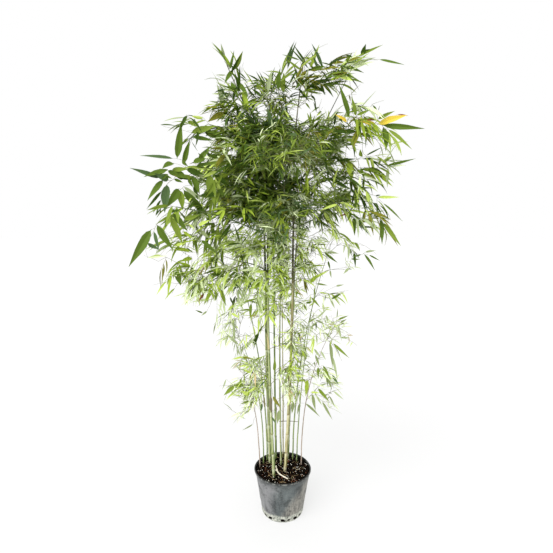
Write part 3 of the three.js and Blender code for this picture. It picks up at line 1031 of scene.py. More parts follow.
def sheathRows(name, foot, length, wrap, facing):
    # rows of points up one sheath, which wraps less of its cane and leans out further as it rises
    line = limbLines[name]
    joints = culmJoints[name]
    low = joints[np.argmin(abs(joints[:, 2] - foot)), 2] + 0.001
    rows = []
    for share in np.linspace(0, 1, sheaths["stations"]):
        x, y, radius = (np.interp(low + share * length, line[:, 2], line[:, k]) for k in (0, 1, 3))
        spread = wrap * (1 - share**2.2) + 0.12
        radius = radius * 1.04 + 0.0005 + 0.0045 * share**2
        turns = facing + np.linspace(-0.5, 0.5, sheaths["columns"]) * spread
        height = low + share * length + 0.002 * np.sin(turns * 3)
        rows.append(np.stack([x + radius * np.cos(turns), y + radius * np.sin(turns), height], 1))
    return rows


def sheathFinish(colour):
    finish = Finish(f"sheath {colour[1:]}")
    fibres = finish.grain(finish.stretched((420, 420, 12)), 1.0, 3, 0.6)
    tone = finish.mixed(0.35, colour, finish.mixed(fibres, colour, sheaths["dryTone"]))
    finish.feed(baseColour=tone, roughness=0.65, specular=0.3, normal=finish.relief(fibres, 0.0005, 0.5))
    return finish.material


def buildSheaths():
    # papery sheaths that still cling above a few of the joints
    rng = np.random.default_rng(sheaths["seed"])
    colours = sorted({row[4] for row in sheaths["old"]})
    count = sheaths["columns"]
    shape = Shape()
    for name, foot, length, wrap, colour in sheaths["old"]:
        rows = sheathRows(name, foot, length, wrap, rng.uniform(0, 2 * math.pi))
        start = (np.arange(len(rows) - 1)[:, None] * count + np.arange(count - 1)).ravel()
        quads = np.stack([start, start + 1, start + count + 1, start + count], 1)
        shape.add(np.concatenate(rows), [quads], slot=colours.index(colour))
    standFor(shape.piece("old_sheaths", [sheathFinish(colour) for colour in colours]), "culm")
    print("sheaths:", len(sheaths["old"]))


def buildSnappedTwig():
    twig = Shape()
    line = smoothLine(snappedTwig["line"], snappedTwig["rings"])
    share = np.linspace(0, 1, snappedTwig["rings"])
    radii = snappedTwig["radius"] * (1 + 0.3 * bump(share, 0.55, 0.05)) * (1.1 - 0.4 * share)
    twig.add(*tube(line, radii, 8))
    standFor(twig.piece("snapped_twig", [plainFinish("snapped twig", snappedTwig["colour"], 0.6)]), "culm")
    print("snapped twig")


buildCulms()
buildBoughs()
buildSheaths()
buildSnappedTwig()


# Foliage

leafShape = {
    "along": (0.0, 0.035, 0.12, 0.26, 0.44, 0.62, 0.80, 1.0),
    "breadth": (0.05, 0.08, 0.62, 0.97, 1.0, 0.78, 0.40, 0.0),
    "fold": 0.40,       # radians each half is folded up from the midrib
    "shine": 0.08,
    "stem": (0.0008, 0.0004),       # radius of the stem under a fan, at its foot and tip
    "upperTwigs": "#6c733a",
    "lowerTwigs": "#6f6c46",
}

fanShape = {
    # random spreads and ranges for the leaves of one fan
    "lean": 0.45,
    "opening": (0.85, 1.25),    # radians that the lowest leaves stand off the twig
    "leastOpen": 0.12,
    "stray": 0.16,
    "droop": (0.3, 1.0),        # shares of the droop of its kind
    "roll": 0.5,
    "size": (0.8, 1.15),
    "slim": (0.85, 1.15),
    "bend": 0.35,
    "twist": 0.45,
    "folding": (0.3, 1.3),
    "step": (0.007, 0.013),     # from leaf to leaf along the stem
}

# night, the darkest tint, is painted shade for leaves deep in the crown
leafTints = {
    "night": "#223506", "deep": "#40581a", "forest": "#5b7328", "fresh": "#7d9237", "bright": "#a3ba42",
    "lime": "#cee273", "pale": "#e7f3c2", "misty": "#adba8c", "blue": "#587045", "dusty": "#8e9b6a",
    "olive": "#80812d", "gold": "#e6cb50", "rust": "#8a5a3c", "straw": "#cbb987",
}
leafRoughness = 0.5
duller = {"misty": 0.55, "rust": 0.6, "straw": 0.6}      # roughness of the less shiny tints
tintNames = list(leafTints)

# the pale, lime and misty leaves scattered through the crown mixes are partly painted highlights for leaf
# sheen
tintMixes = {
    "dark": {"night": 1.0, "deep": 3.0, "forest": 5, "fresh": 6, "blue": 1.6, "olive": 1.4, "bright": 3,
             "misty": 1.2, "dusty": 2, "lime": 1.8, "pale": 1.8},
    "middle": {"deep": 3.4, "forest": 5.4, "fresh": 5, "bright": 3, "blue": 0.4, "olive": 2, "misty": 1.2,
               "lime": 2.2, "pale": 1.6},
    "front": {"night": 1.0, "deep": 3.0, "forest": 5, "fresh": 6, "blue": 2.2, "olive": 1.2, "bright": 2.2,
              "dusty": 3, "misty": 1.2, "lime": 1, "pale": 1.4},
    # flank: lighter tints for sprays on the crown's sides, painted light
    "flank": {"deep": 1.6, "forest": 3.6, "fresh": 5, "bright": 3.4, "olive": 1.2, "misty": 2.2, "dusty": 2.6,
              "lime": 2.4, "pale": 2.8},
    # foot: darker and bluer greens, painted shade at the foot of the crown
    "foot": {"night": 1.2, "deep": 3.6, "forest": 5, "fresh": 4.4, "blue": 4, "olive": 1, "bright": 1.6,
             "dusty": 2, "misty": 1, "lime": 0.6, "pale": 0.8},
    # shade: darker tints for sprays deep in the crown, painted shade
    "shade": {"deep": 2, "forest": 5, "fresh": 3.4, "blue": 3},
    # light and palest: paler tints for the low sprays, partly their own yellow-green and partly painted light
    # that washes them pale
    "light": {"deep": 0.8, "forest": 1.8, "fresh": 2.6, "bright": 4.6, "lime": 6, "pale": 9, "misty": 0.6,
              "olive": 0.4, "straw": 0.2},
    "palest": {"fresh": 0.8, "bright": 1.2, "lime": 3.6, "pale": 6.5, "misty": 3.5, "dusty": 3.4,
               "straw": 0.5},
}

# outward, rise and wander steer a spray; droop bends its leaves down; perLitre is leaves per litre.
# Sprays deeper than innerFrom are of the inner kind, with darker tints as painted shade, and those outside
# darkSpan (in x) of the flank kind, with lighter tints as painted light. What a kind doesn't name is as in
# usualLeaves.
usualLeaves = {"leaves": (4, 7), "outward": 0.8, "wander": 0.5, "deep": 0.0, "innerFrom": 9,
               "darkSpan": (-9, 9)}
leafKinds = {
    "core": {"perLitre": 92, "length": 0.086, "slim": 0.112, "leaves": (4, 8), "outward": 0.6,
             "rise": 0.15, "wander": 0.6, "droop": 0.25, "tints": "dark", "deep": 0.015,
             "innerFrom": 0.05, "darkSpan": (-0.15, 0.06)},
    "inner": {"perLitre": 12, "length": 0.1, "slim": 0.2, "outward": 0.6, "rise": 0.15, "wander": 0.6,
              "droop": 0.3, "tints": "shade", "deep": 0.04},
    "flank": {"perLitre": 60, "length": 0.088, "slim": 0.125, "leaves": (4, 8), "outward": 0.7,
              "rise": 0.1, "wander": 0.55, "droop": 0.3, "tints": "flank", "deep": 0.015},
    "fine": {"perLitre": 84, "length": 0.082, "slim": 0.095, "leaves": (4, 8), "outward": 0.7,
             "rise": 0.1, "wander": 0.6, "droop": 0.3, "tints": "front"},
    "foot": {"perLitre": 84, "length": 0.082, "slim": 0.105, "leaves": (4, 8), "outward": 0.7,
             "rise": 0.1, "wander": 0.6, "droop": 0.2, "tints": "foot"},
    "crown": {"perLitre": 44, "length": 0.092, "slim": 0.12, "rise": 0.25, "wander": 0.45, "droop": 0.25,
              "tints": "middle", "deep": 0.01},
    "tuft": {"perLitre": 26, "length": 0.115, "slim": 0.15, "outward": 0.4, "rise": 0.9, "wander": 0.35,
             "droop": 0.1, "tints": "middle"},
    "broad": {"perLitre": 12, "length": 0.122, "slim": 0.17, "rise": -0.25, "droop": 0.5,
              "tints": "middle"},
    "side": {"perLitre": 20, "length": 0.115, "slim": 0.15, "outward": 0.9, "rise": -0.15, "wander": 0.45,
             "droop": 0.45, "tints": "middle"},
    "hazy": {"perLitre": 20, "length": 0.11, "slim": 0.14, "outward": 0.9, "rise": -0.15, "wander": 0.45,
             "droop": 0.45, "tints": "flank"},
    "leafy": {"perLitre": 24, "length": 0.095, "slim": 0.14, "rise": -0.15, "droop": 0.45,
              "tints": "light"},
    "airy": {"perLitre": 38, "length": 0.078, "slim": 0.115, "rise": -0.1, "droop": 0.4,
             "tints": "light"},
    "ragged": {"perLitre": 60, "length": 0.07, "slim": 0.125, "outward": 0.7, "rise": 0.05, "wander": 0.9,
               "droop": 0.15, "tints": "light"},
    "sparse": {"perLitre": 25, "length": 0.07, "slim": 0.115, "leaves": (3, 6), "rise": -0.15,
               "droop": 0.45, "tints": "palest"},
}
leafKinds = {name: {**usualLeaves, **own} for name, own in leafKinds.items()}

# for each mass: its kind of leaves, how full it is, and how far out its own sprays reach
massRules = {
    "core_upper": ("core", 0.95, 1), "core_middle": ("core", 1, 1),
    "core_right": ("core", 0.7, 1), "core_right_low": ("core", 0.65, 1),
    "top_middle": ("crown", 1.4, 1), "top_left": ("crown", 1.2, 0.8), "top_right": ("crown", 0.25, 0.7),
    "tuft_left": ("tuft", 0.75, 0.5), "tuft_middle": ("tuft", 0.75, 0.6), "arch_right": ("side", 0.65, 0.5),
    "shoulder_left": ("side", 0.65, 0.5), "right_front": ("side", 0.65, 0.5),
    "right_side": ("side", 0.6, 0.65), "right_low": ("side", 0.85, 0.7),
    "left_front": ("broad", 0.35, 0.2), "left_hanging": ("broad", 0, 0.2),
    "left_middle": ("hazy", 1.9, 1), "left_low": ("leafy", 1.2, 0.9),
    "front_upper": ("fine", 0.75, 1), "front_middle": ("foot", 0.9, 1),
    "back_upper": ("crown", 1, 1), "back_right": ("crown", 0.25, 1), "back_left": ("crown", 1, 1),
    "back_middle": ("crown", 1, 1), "back_low_left": ("leafy", 2.4, 1), "back_low_right": ("airy", 0.4, 1),
    "back_lower": ("airy", 1, 1), "middle_left": ("leafy", 1.4, 1), "middle_right": ("airy", 0.75, 1),
    "right_lower": ("sparse", 1.2, 0.9), "right_hanging": ("sparse", 0.9, 0.9),
    "left_lower": ("sparse", 1, 1), "left_bottom": ("sparse", 2.9, 1), "centre_low": ("sparse", 2.1, 1),
    "centre_middle": ("ragged", 3.4, 1),
}

# openings through the crown as they are seen from the front: x and height on the upright plane
# through the middle of the pot, and radius, in millimetres
skyGaps = [
    # round the top and under the arch
    (100, 2390, 50), (-290, 2280, 45), (70, 2285, 35), (400, 2310, 30), (340, 2260, 30),
    (210, 2125, 50), (480, 2100, 35), (355, 2150, 35), (55, 2080, 40), (-320, 2150, 30), (-300, 2030, 30),
    (-105, 2080, 30),
    # the right side
    (400, 1910, 55), (310, 1900, 35), (370, 1840, 40), (255, 1830, 30), (510, 1895, 35), (515, 1800, 30),
    (195, 1730, 30), (405, 1610, 35), (290, 1550, 40), (350, 1500, 40), (430, 1490, 50), (490, 1460, 35),
    # the left side
    (-400, 1920, 50), (-460, 2000, 40), (-240, 1890, 30), (-640, 1570, 60), (-380, 1510, 35),
    (-480, 1520, 30), (-425, 1390, 40), (-270, 1390, 35), (-530, 1250, 60), (-255, 1200, 30),
    # low on the right
    (230, 1270, 55), (230, 1360, 50), (260, 1440, 45), (160, 1390, 35), (170, 1240, 35), (250, 1090, 35),
    (305, 970, 40), (125, 850, 30), (270, 670, 30),
    # low on the left and between the culms
    (-180, 1040, 55), (-160, 1130, 30), (-155, 1380, 30), (-20, 1060, 35), (0, 880, 45),
    (-130, 985, 30), (-230, 770, 35), (-240, 620, 50),
]

# stretches of cane that stand clear of leaves in front: lowest and highest point and the breadth
# cleared on each side, in metres
bareCanes = {
    "right_tall": (1.22, 1.60, 0.022),
    "front_tall": (0.30, 1.16, 0.012),
    "left_tall": (1.30, 1.52, 0.014),
}

# rows of sprays that fringe a mass: from, to, how many, and the way they head (aside, rise).
# Millimetres.
fringeSpread = 35       # how far a spray strays from its row
fringeLeaves = 7
fringes = {
    "left_low": [((-520, -250, 1470), (-330, -120, 1220), 18, -0.5, -0.6),
                 ((-560, -230, 1400), (-400, -200, 1290), 8, -0.8, 0.0),
                 ((-400, -150, 1300), (-280, -80, 1200), 8, 0.1, -0.9)],
    "left_middle": [((-430, -350, 1420), (-170, -220, 1540), 9, -0.9, 0.3)],
    "left_lower": [((-300, -20, 1100), (-170, -10, 970), 8, -0.3, -0.3),
                   ((-250, 0, 1120), (-120, 0, 1060), 5, 0.4, -0.5)],
    "left_bottom": [((-110, 10, 860), (-150, -20, 600), 12, -0.3, -0.7),
                    ((-230, -20, 800), (-160, -10, 640), 5, -0.8, -0.3),
                    ((-120, 0, 700), (-100, -20, 590), 6, 0.3, -0.6)],
    "middle_left": [((-200, -80, 1180), (-120, 0, 1490), 9, -0.2, -0.7)],
    "middle_right": [((70, -50, 1260), (110, -20, 1510), 11, 0.7, 0.0),
                     ((130, -60, 1480), (230, -80, 1560), 8, 0.6, -0.3)],
    "centre_middle": [((20, -160, 1400), (60, -160, 1490), 5, -0.2, -1.0)],
    "centre_low": [((10, -120, 660), (70, -70, 1010), 17, 0.0, -0.3),
                   ((-20, -110, 780), (30, -120, 680), 7, -0.3, -0.5)],
    "right_low": [((170, -90, 1600), (390, -90, 1700), 9, 0.5, -0.9)],
    "right_side": [((300, -70, 1770), (380, -110, 1840), 8, 0.9, -0.2)],
    "right_front": [((260, -180, 2060), (420, -230, 1970), 4, 0.8, -0.6)],
    "right_lower": [((120, 0, 1110), (140, -50, 1000), 3, 0.2, -0.8),
                    ((250, 0, 1040), (330, -10, 960), 6, 0.5, -0.6)],
    "core_right_low": [((90, -70, 1540), (170, -30, 1630), 3, 0.5, -0.5)],
    "arch_right": [((90, -90, 2180), (220, -130, 2260), 8, 0.9, 0.3)],
    "top_right": [((50, 10, 2020), (130, -10, 2050), 3, 0.9, 0.4)],
    "tuft_middle": [((10, -70, 2110), (90, -140, 2230), 5, 0.8, 0.5)],
    "tuft_left": [((-260, -10, 2170), (-120, -10, 2180), 4, -0.3, 0.7)],
    "back_low_left": [((-180, 210, 1530), (-250, 180, 1420), 4, -0.8, 0.1)],
    "back_low_right": [((140, 140, 1510), (400, 200, 1420), 7, 0.8, -0.4)],
    "back_lower": [((100, 210, 1210), (90, 200, 1270), 3, 0.0, -0.9)],
}

# leaves set one by one, each on an upright plane through its mass: foot and tip (x, height), width
# and tint. The plane's y is slope * x + offset, and the tips lean forward of it. Millimetres.
tipsForward = 30
leafPlanes = {
    "shoulder_left": (0.33, 0), "left_front": (0.86, 20), "left_hanging": (0.85, -40),
    "tuft_left": (0, -10), "top_left": (0, -30), "top_middle": (0, -60), "tuft_middle": (0, -100),
    "top_right": (0, -50), "arch_right": (-0.35, -50), "right_front": (-0.47, -25),
    "right_side": (-0.26, 15), "right_low": (-0.27, 0), "middle_right": (0, -60),
    "right_lower": (0, -20), "right_hanging": (0, -20), "left_lower": (0, -20), "left_bottom": (0, -20),
    "centre_low": (0, -90), "left_low": (0.52, 30),
}
placedLeaves = {
    "shoulder_left": [
        (-488, 1852, -618, 1860, 19, "blue"), (-474, 1852, -444, 2010, 34, "forest"),
        (-412, 1966, -300, 1996, 31, "fresh"), (-408, 1950, -310, 1932, 19, "forest"),
        (-356, 1970, -246, 1932, 38, "forest"), (-426, 2014, -372, 1986, 21, "fresh"),
        (-410, 1928, -380, 1882, 4, "deep"), (-450, 1828, -412, 1936, 26, "forest"),
        (-536, 1994, -464, 1988, 8, "deep"), (-376, 1988, -300, 1962, 22, "forest"),
    ],
    "left_front": [
        (-494, 1760, -578, 1794, 21, "blue"), (-476, 1788, -538, 1762, 26, "forest"),
        (-446, 1820, -478, 1796, 31, "forest"), (-464, 1752, -504, 1778, 26, "blue"),
        (-482, 1754, -530, 1672, 27, "forest"), (-488, 1710, -534, 1640, 13, "deep"),
        (-492, 1676, -514, 1624, 11, "deep"), (-470, 1736, -476, 1624, 39, "blue"),
        (-430, 1720, -470, 1644, 35, "forest"), (-428, 1714, -414, 1632, 31, "fresh"),
        (-416, 1718, -318, 1598, 44, "forest"), (-386, 1774, -352, 1696, 34, "forest"),
        (-320, 1782, -296, 1646, 41, "fresh"), (-404, 1808, -282, 1800, 27, "fresh"),
        (-452, 1788, -392, 1760, 37, "forest"), (-402, 1796, -338, 1780, 27, "deep"),
        (-414, 1728, -336, 1662, 19, "misty"), (-378, 1790, -330, 1756, 19, "dusty"),
        (-376, 1734, -360, 1674, 17, "deep"), (-416, 1834, -390, 1808, 18, "forest"),
        (-378, 1826, -326, 1842, 28, "forest"), (-360, 1830, -306, 1896, 24, "forest"),
        (-332, 1818, -266, 1836, 22, "fresh"), (-354, 1694, -288, 1690, 19, "deep"),
        (-452, 1794, -390, 1798, 20, "fresh"), (-506, 1776, -458, 1794, 24, "forest"),
        (-398, 1802, -352, 1772, 26, "deep"), (-368, 1810, -298, 1826, 22, "forest"),
        (-360, 1770, -330, 1776, 7, "misty"), (-356, 1750, -328, 1744, 7, "dusty"),
        (-358, 1730, -328, 1724, 6, "misty"), (-302, 1778, -242, 1734, 32, "deep"),
        (-292, 1714, -242, 1692, 27, "forest"), (-344, 1698, -288, 1702, 18, "deep"),
        (-494, 1758, -458, 1776, 22, "forest"), (-416, 1760, -442, 1772, 20, "olive"),
        (-396, 1760, -376, 1724, 15, "forest"), (-336, 1834, -354, 1864, 18, "forest"),
        (-312, 1850, -330, 1878, 16, "blue"), (-284, 1852, -318, 1858, 18, "forest"),
        (-254, 1832, -300, 1812, 24, "fresh"), (-400, 1644, -376, 1674, 11, "dusty"),
        (-382, 1688, -396, 1660, 9, "lime"), (-340, 1642, -360, 1662, 11, "lime"),
        (-466, 1790, -416, 1762, 23, "forest"), (-436, 1768, -388, 1754, 21, "deep"),
        (-382, 1758, -410, 1778, 18, "fresh"), (-486, 1774, -446, 1758, 15, "forest"),
        (-446, 1758, -410, 1744, 13, "forest"), (-512, 1614, -486, 1646, 8, "deep"),
        (-498, 1650, -506, 1618, 6, "blue"), (-494, 1644, -494, 1618, 5, "deep"),
    ],
    "left_hanging": [
        (-516, 1564, -584, 1430, 37, "forest"), (-498, 1582, -442, 1480, 33, "forest"),
        (-508, 1556, -488, 1480, 14, "blue"), (-530, 1512, -486, 1486, 17, "blue"),
        (-452, 1610, -408, 1500, 29, "fresh"), (-444, 1624, -390, 1550, 25, "forest"),
        (-462, 1624, -412, 1638, 15, "deep"), (-446, 1494, -354, 1514, 12, "bright"),
        (-532, 1456, -460, 1460, 9, "pale"), (-350, 1510, -282, 1444, 19, "forest"),
        (-402, 1484, -374, 1460, 5, "deep"), (-408, 1596, -344, 1616, 20, "fresh"),
        (-358, 1570, -310, 1592, 16, "lime"), (-354, 1552, -312, 1514, 17, "dusty"),
        (-472, 1568, -454, 1602, 14, "deep"), (-442, 1492, -398, 1504, 12, "lime"),
        (-412, 1550, -372, 1518, 13, "bright"), (-368, 1526, -392, 1500, 9, "pale"),
        (-394, 1580, -364, 1554, 8, "lime"),
    ],
    "tuft_left": [
        (-240, 2270, -314, 2362, 17, "bright"), (-242, 2266, -270, 2290, 8, "misty"),
        (-216, 2284, -242, 2336, 15, "bright"), (-228, 2258, -184, 2332, 25, "fresh"),
        (-232, 2258, -270, 2192, 25, "forest"), (-266, 2236, -312, 2230, 6, "misty"),
        (-202, 2246, -166, 2208, 7, "deep"),
    ],
    "top_left": [
        (-276, 2088, -302, 2186, 28, "misty"), (-240, 2202, -204, 2122, 23, "forest"),
        (-208, 2202, -158, 2126, 23, "forest"), (-188, 2158, -158, 2060, 27, "bright"),
        (-224, 2168, -230, 2104, 14, "deep"), (-298, 2110, -340, 2114, 8, "misty"),
        (-294, 2080, -362, 2096, 7, "deep"), (-276, 2072, -350, 2022, 28, "olive"),
        (-250, 2206, -248, 2130, 6, "misty"),
    ],
    "top_middle": [
        (-112, 2200, -164, 2222, 9, "deep"), (-108, 2192, -156, 2180, 11, "deep"),
        (-88, 2178, -124, 2234, 8, "deep"), (-84, 2196, -110, 2234, 6, "deep"),
        (-72, 2152, -54, 2240, 21, "misty"), (-100, 2132, -146, 2162, 18, "deep"),
        (-26, 2160, -18, 2246, 23, "forest"), (-4, 2152, 0, 2230, 27, "fresh"),
        (-52, 2160, -34, 2184, 7, "deep"),
    ],
    "tuft_middle": [
        (114, 2244, 152, 2334, 16, "bright"), (110, 2240, 18, 2328, 9, "deep"),
        (100, 2260, 38, 2334, 10, "deep"), (70, 2276, -10, 2292, 11, "forest"),
        (80, 2232, 0, 2278, 10, "fresh"), (80, 2224, 22, 2208, 7, "forest"),
        (56, 2236, 14, 2154, 10, "deep"), (96, 2232, 70, 2190, 18, "olive"),
        (92, 2198, 44, 2146, 16, "forest"), (116, 2236, 178, 2244, 22, "forest"),
        (110, 2232, 212, 2232, 10, "olive"), (202, 2248, 204, 2268, 18, "forest"),
        (124, 2220, 170, 2192, 7, "misty"),
    ],
    "top_right": [
        (172, 2196, 86, 2154, 15, "forest"), (88, 2158, 176, 2140, 12, "fresh"),
        (168, 2188, 184, 2134, 14, "forest"), (64, 2132, 126, 2130, 13, "forest"),
        (124, 2140, 144, 2112, 11, "deep"), (28, 2120, 108, 2096, 9, "fresh"),
        (28, 2124, 100, 2110, 8, "misty"), (28, 2084, 64, 2096, 10, "misty"),
        (172, 2200, 248, 2136, 12, "misty"), (164, 2206, 108, 2182, 9, "misty"),
    ],
    "arch_right": [
        (314, 2274, 406, 2304, 13, "fresh"), (330, 2276, 340, 2314, 21, "deep"),
        (338, 2294, 356, 2292, 8, "deep"), (294, 2280, 308, 2300, 19, "pale"),
        (290, 2276, 258, 2278, 11, "deep"), (278, 2260, 326, 2264, 15, "olive"),
        (254, 2238, 306, 2246, 8, "misty"), (270, 2232, 312, 2214, 9, "forest"),
        (292, 2240, 334, 2250, 9, "misty"), (328, 2252, 354, 2226, 7, "misty"),
        (398, 2256, 492, 2218, 11, "forest"), (188, 2208, 258, 2212, 15, "fresh"),
        (214, 2206, 276, 2208, 17, "olive"), (246, 2218, 320, 2170, 11, "forest"),
        (226, 2212, 292, 2172, 20, "lime"), (254, 2210, 194, 2190, 14, "bright"),
        (246, 2198, 218, 2182, 10, "straw"), (202, 2190, 248, 2192, 13, "bright"),
    ],
    "right_front": [
        (284, 2024, 234, 2166, 26, "forest"), (312, 2030, 286, 2110, 22, "fresh"),
        (322, 2054, 384, 2124, 5, "misty"), (316, 2034, 364, 2048, 13, "fresh"),
        (390, 2038, 368, 2068, 21, "forest"), (398, 2048, 398, 2064, 7, "deep"),
        (400, 1992, 502, 2016, 31, "gold"), (470, 2024, 506, 2012, 9, "rust"),
        (398, 2012, 456, 2036, 17, "fresh"), (388, 1996, 318, 2004, 17, "gold"),
        (398, 2008, 306, 2016, 10, "rust"), (416, 1986, 568, 1958, 25, "forest"),
        (420, 1978, 428, 1874, 35, "forest"), (438, 1968, 526, 1878, 17, "fresh"),
        (440, 1920, 454, 1888, 7, "fresh"), (276, 2008, 222, 2040, 19, "gold"),
        (218, 2026, 238, 2056, 9, "deep"), (326, 1980, 288, 2032, 17, "forest"),
        (330, 1984, 394, 1956, 17, "forest"), (338, 1972, 398, 1934, 20, "bright"),
        (330, 1954, 388, 1934, 15, "forest"), (326, 1972, 294, 1898, 20, "fresh"),
        (318, 1964, 206, 1970, 21, "deep"), (270, 1938, 330, 1912, 18, "fresh"),
        (340, 1858, 328, 1888, 20, "fresh"), (356, 1862, 416, 1894, 8, "deep"),
        (428, 1834, 474, 1914, 5, "misty"), (368, 1856, 410, 1838, 7, "misty"),
        (428, 1834, 444, 1844, 9, "deep"),
    ],
    "right_side": [
        (466, 1824, 582, 1852, 16, "forest"), (474, 1814, 546, 1824, 15, "pale"),
        (426, 1806, 334, 1810, 13, "deep"), (244, 1850, 334, 1856, 14, "deep"),
        (304, 1848, 306, 1774, 30, "bright"), (366, 1798, 422, 1760, 14, "olive"),
        (426, 1806, 450, 1756, 14, "forest"), (474, 1818, 468, 1724, 15, "misty"),
        (346, 1772, 420, 1724, 19, "fresh"), (358, 1774, 396, 1774, 6, "misty"),
        (432, 1684, 524, 1684, 14, "lime"), (426, 1690, 442, 1694, 7, "deep"),
        (432, 1672, 490, 1586, 11, "fresh"), (458, 1658, 542, 1574, 11, "forest"),
        (434, 1652, 430, 1612, 12, "deep"), (370, 1690, 414, 1640, 14, "misty"),
    ],
    "right_low": [
        (208, 1772, 312, 1716, 21, "deep"), (286, 1726, 270, 1620, 21, "forest"),
        (290, 1716, 314, 1644, 21, "fresh"), (312, 1726, 336, 1676, 11, "deep"),
        (340, 1670, 294, 1602, 8, "deep"), (366, 1578, 376, 1634, 9, "forest"),
        (330, 1592, 330, 1506, 21, "forest"), (362, 1582, 344, 1542, 14, "fresh"),
        (438, 1542, 384, 1548, 12, "forest"), (444, 1588, 378, 1590, 9, "fresh"),
        (374, 1578, 430, 1554, 8, "forest"), (448, 1588, 452, 1468, 23, "forest"),
        (458, 1570, 534, 1464, 21, "fresh"), (312, 1610, 254, 1596, 9, "rust"),
        (238, 1614, 258, 1560, 12, "forest"), (250, 1538, 268, 1500, 9, "misty"),
        (196, 1422, 258, 1376, 14, "forest"), (210, 1424, 262, 1422, 12, "misty"),
        (310, 1460, 304, 1392, 14, "misty"), (338, 1474, 356, 1436, 14, "fresh"),
        (334, 1428, 338, 1356, 13, "deep"), (366, 1416, 322, 1406, 9, "forest"),
        (322, 1394, 356, 1396, 9, "forest"), (384, 1428, 426, 1442, 12, "misty"),
        (380, 1420, 426, 1346, 15, "forest"), (402, 1416, 446, 1394, 8, "forest"),
        (314, 1350, 284, 1324, 12, "misty"), (216, 1380, 224, 1340, 10, "forest"),
        (226, 1336, 230, 1300, 10, "misty"),
    ],
    "middle_right": [
        (130, 1288, 218, 1338, 15, "lime"), (130, 1276, 170, 1316, 20, "bright"),
        (160, 1268, 214, 1266, 11, "fresh"), (256, 1256, 292, 1270, 10, "misty"),
        (234, 1190, 292, 1234, 12, "forest"), (234, 1188, 250, 1150, 10, "misty"),
        (136, 1202, 180, 1156, 11, "fresh"), (112, 1172, 144, 1186, 11, "forest"),
        (102, 1162, 114, 1140, 12, "fresh"), (168, 1096, 220, 1160, 9, "misty"),
        (124, 1072, 170, 1110, 10, "fresh"),
    ],
    "right_lower": [
        (164, 1076, 212, 1060, 10, "dusty"), (172, 1064, 134, 1042, 10, "dusty"),
        (168, 1060, 164, 1030, 9, "blue"), (216, 1100, 224, 1068, 10, "misty"),
        (276, 1076, 324, 1106, 11, "fresh"), (286, 1060, 316, 1088, 10, "dusty"),
        (276, 1048, 294, 974, 12, "misty"), (292, 984, 336, 990, 11, "misty"),
        (208, 1012, 244, 986, 10, "dusty"), (116, 860, 104, 970, 18, "dusty"),
        (168, 996, 170, 954, 10, "misty"), (158, 924, 190, 886, 12, "misty"),
        (164, 892, 184, 838, 13, "dusty"), (192, 912, 216, 874, 10, "misty"),
        (236, 960, 250, 834, 20, "dusty"), (244, 896, 278, 768, 16, "misty"),
        (252, 954, 334, 884, 14, "fresh"), (204, 836, 244, 758, 15, "fresh"),
        (180, 826, 180, 774, 15, "fresh"),
    ],
    "right_hanging": [
        (220, 784, 250, 716, 18, "dusty"), (252, 784, 284, 742, 13, "blue"),
        (124, 760, 116, 676, 23, "bright"), (120, 756, 66, 760, 15, "dusty"),
        (192, 726, 224, 748, 9, "misty"), (180, 712, 238, 650, 18, "fresh"),
        (152, 680, 168, 600, 17, "dusty"), (176, 668, 200, 630, 11, "misty"),
        (144, 690, 190, 698, 10, "lime"), (116, 628, 192, 566, 15, "dusty"),
        (204, 640, 256, 550, 15, "dusty"), (260, 696, 312, 660, 10, "misty"),
        (88, 628, 74, 578, 13, "dusty"), (88, 696, 56, 660, 15, "dusty"), (52, 640, 46, 584, 21, "dusty"),
    ],
    "left_lower": [
        (-204, 920, -136, 996, 15, "misty"), (-224, 944, -292, 1022, 14, "misty"),
        (-248, 970, -242, 1094, 15, "misty"), (-204, 880, -262, 878, 10, "lime"),
        (-204, 880, -152, 880, 10, "olive"), (-236, 852, -268, 828, 9, "misty"),
        (-164, 794, -202, 828, 14, "lime"),
    ],
    "left_bottom": [
        (-250, 724, -304, 684, 23, "fresh"), (-200, 728, -254, 736, 21, "fresh"),
        (-292, 760, -310, 714, 8, "misty"), (-170, 674, -218, 714, 24, "lime"),
        (-156, 512, -212, 492, 10, "dusty"), (-172, 640, -220, 638, 10, "fresh"),
        (-172, 612, -206, 604, 8, "misty"), (-172, 590, -206, 576, 8, "misty"),
        (-160, 646, -164, 622, 13, "fresh"), (-108, 628, -112, 594, 13, "blue"),
    ],
    "centre_low": [
        (-52, 700, -10, 650, 18, "olive"), (48, 860, -32, 818, 23, "dusty"),
        (28, 806, -2, 766, 16, "dusty"), (-20, 624, -30, 564, 20, "dusty"),
        (-56, 588, -36, 564, 9, "blue"), (-44, 832, -40, 916, 17, "fresh"),
        (-90, 780, -120, 756, 10, "blue"),
    ],
    "left_low": [
        (-500, 1356, -516, 1244, 14, "bright"), (-484, 1358, -460, 1294, 28, "forest"),
        (-468, 1362, -434, 1318, 14, "forest"), (-436, 1294, -452, 1214, 12, "pale"),
        (-400, 1290, -422, 1234, 14, "deep"), (-418, 1370, -414, 1330, 18, "forest"),
        (-422, 1376, -476, 1404, 13, "bright"), (-422, 1372, -474, 1376, 14, "fresh"),
        (-416, 1412, -460, 1402, 23, "bright"), (-540, 1434, -586, 1430, 11, "lime"),
        (-372, 1242, -392, 1210, 11, "rust"), (-332, 1260, -368, 1196, 21, "bright"),
        (-296, 1256, -272, 1176, 21, "fresh"), (-318, 1248, -316, 1206, 19, "fresh"),
        (-294, 1336, -338, 1360, 28, "bright"), (-282, 1316, -334, 1336, 28, "forest"),
        (-280, 1336, -238, 1308, 14, "olive"), (-200, 1264, -274, 1274, 23, "pale"),
        (-256, 1212, -238, 1178, 10, "deep"), (-238, 1170, -268, 1148, 14, "lime"),
        (-252, 1132, -210, 1110, 12, "lime"), (-158, 1170, -162, 1094, 15, "fresh"),
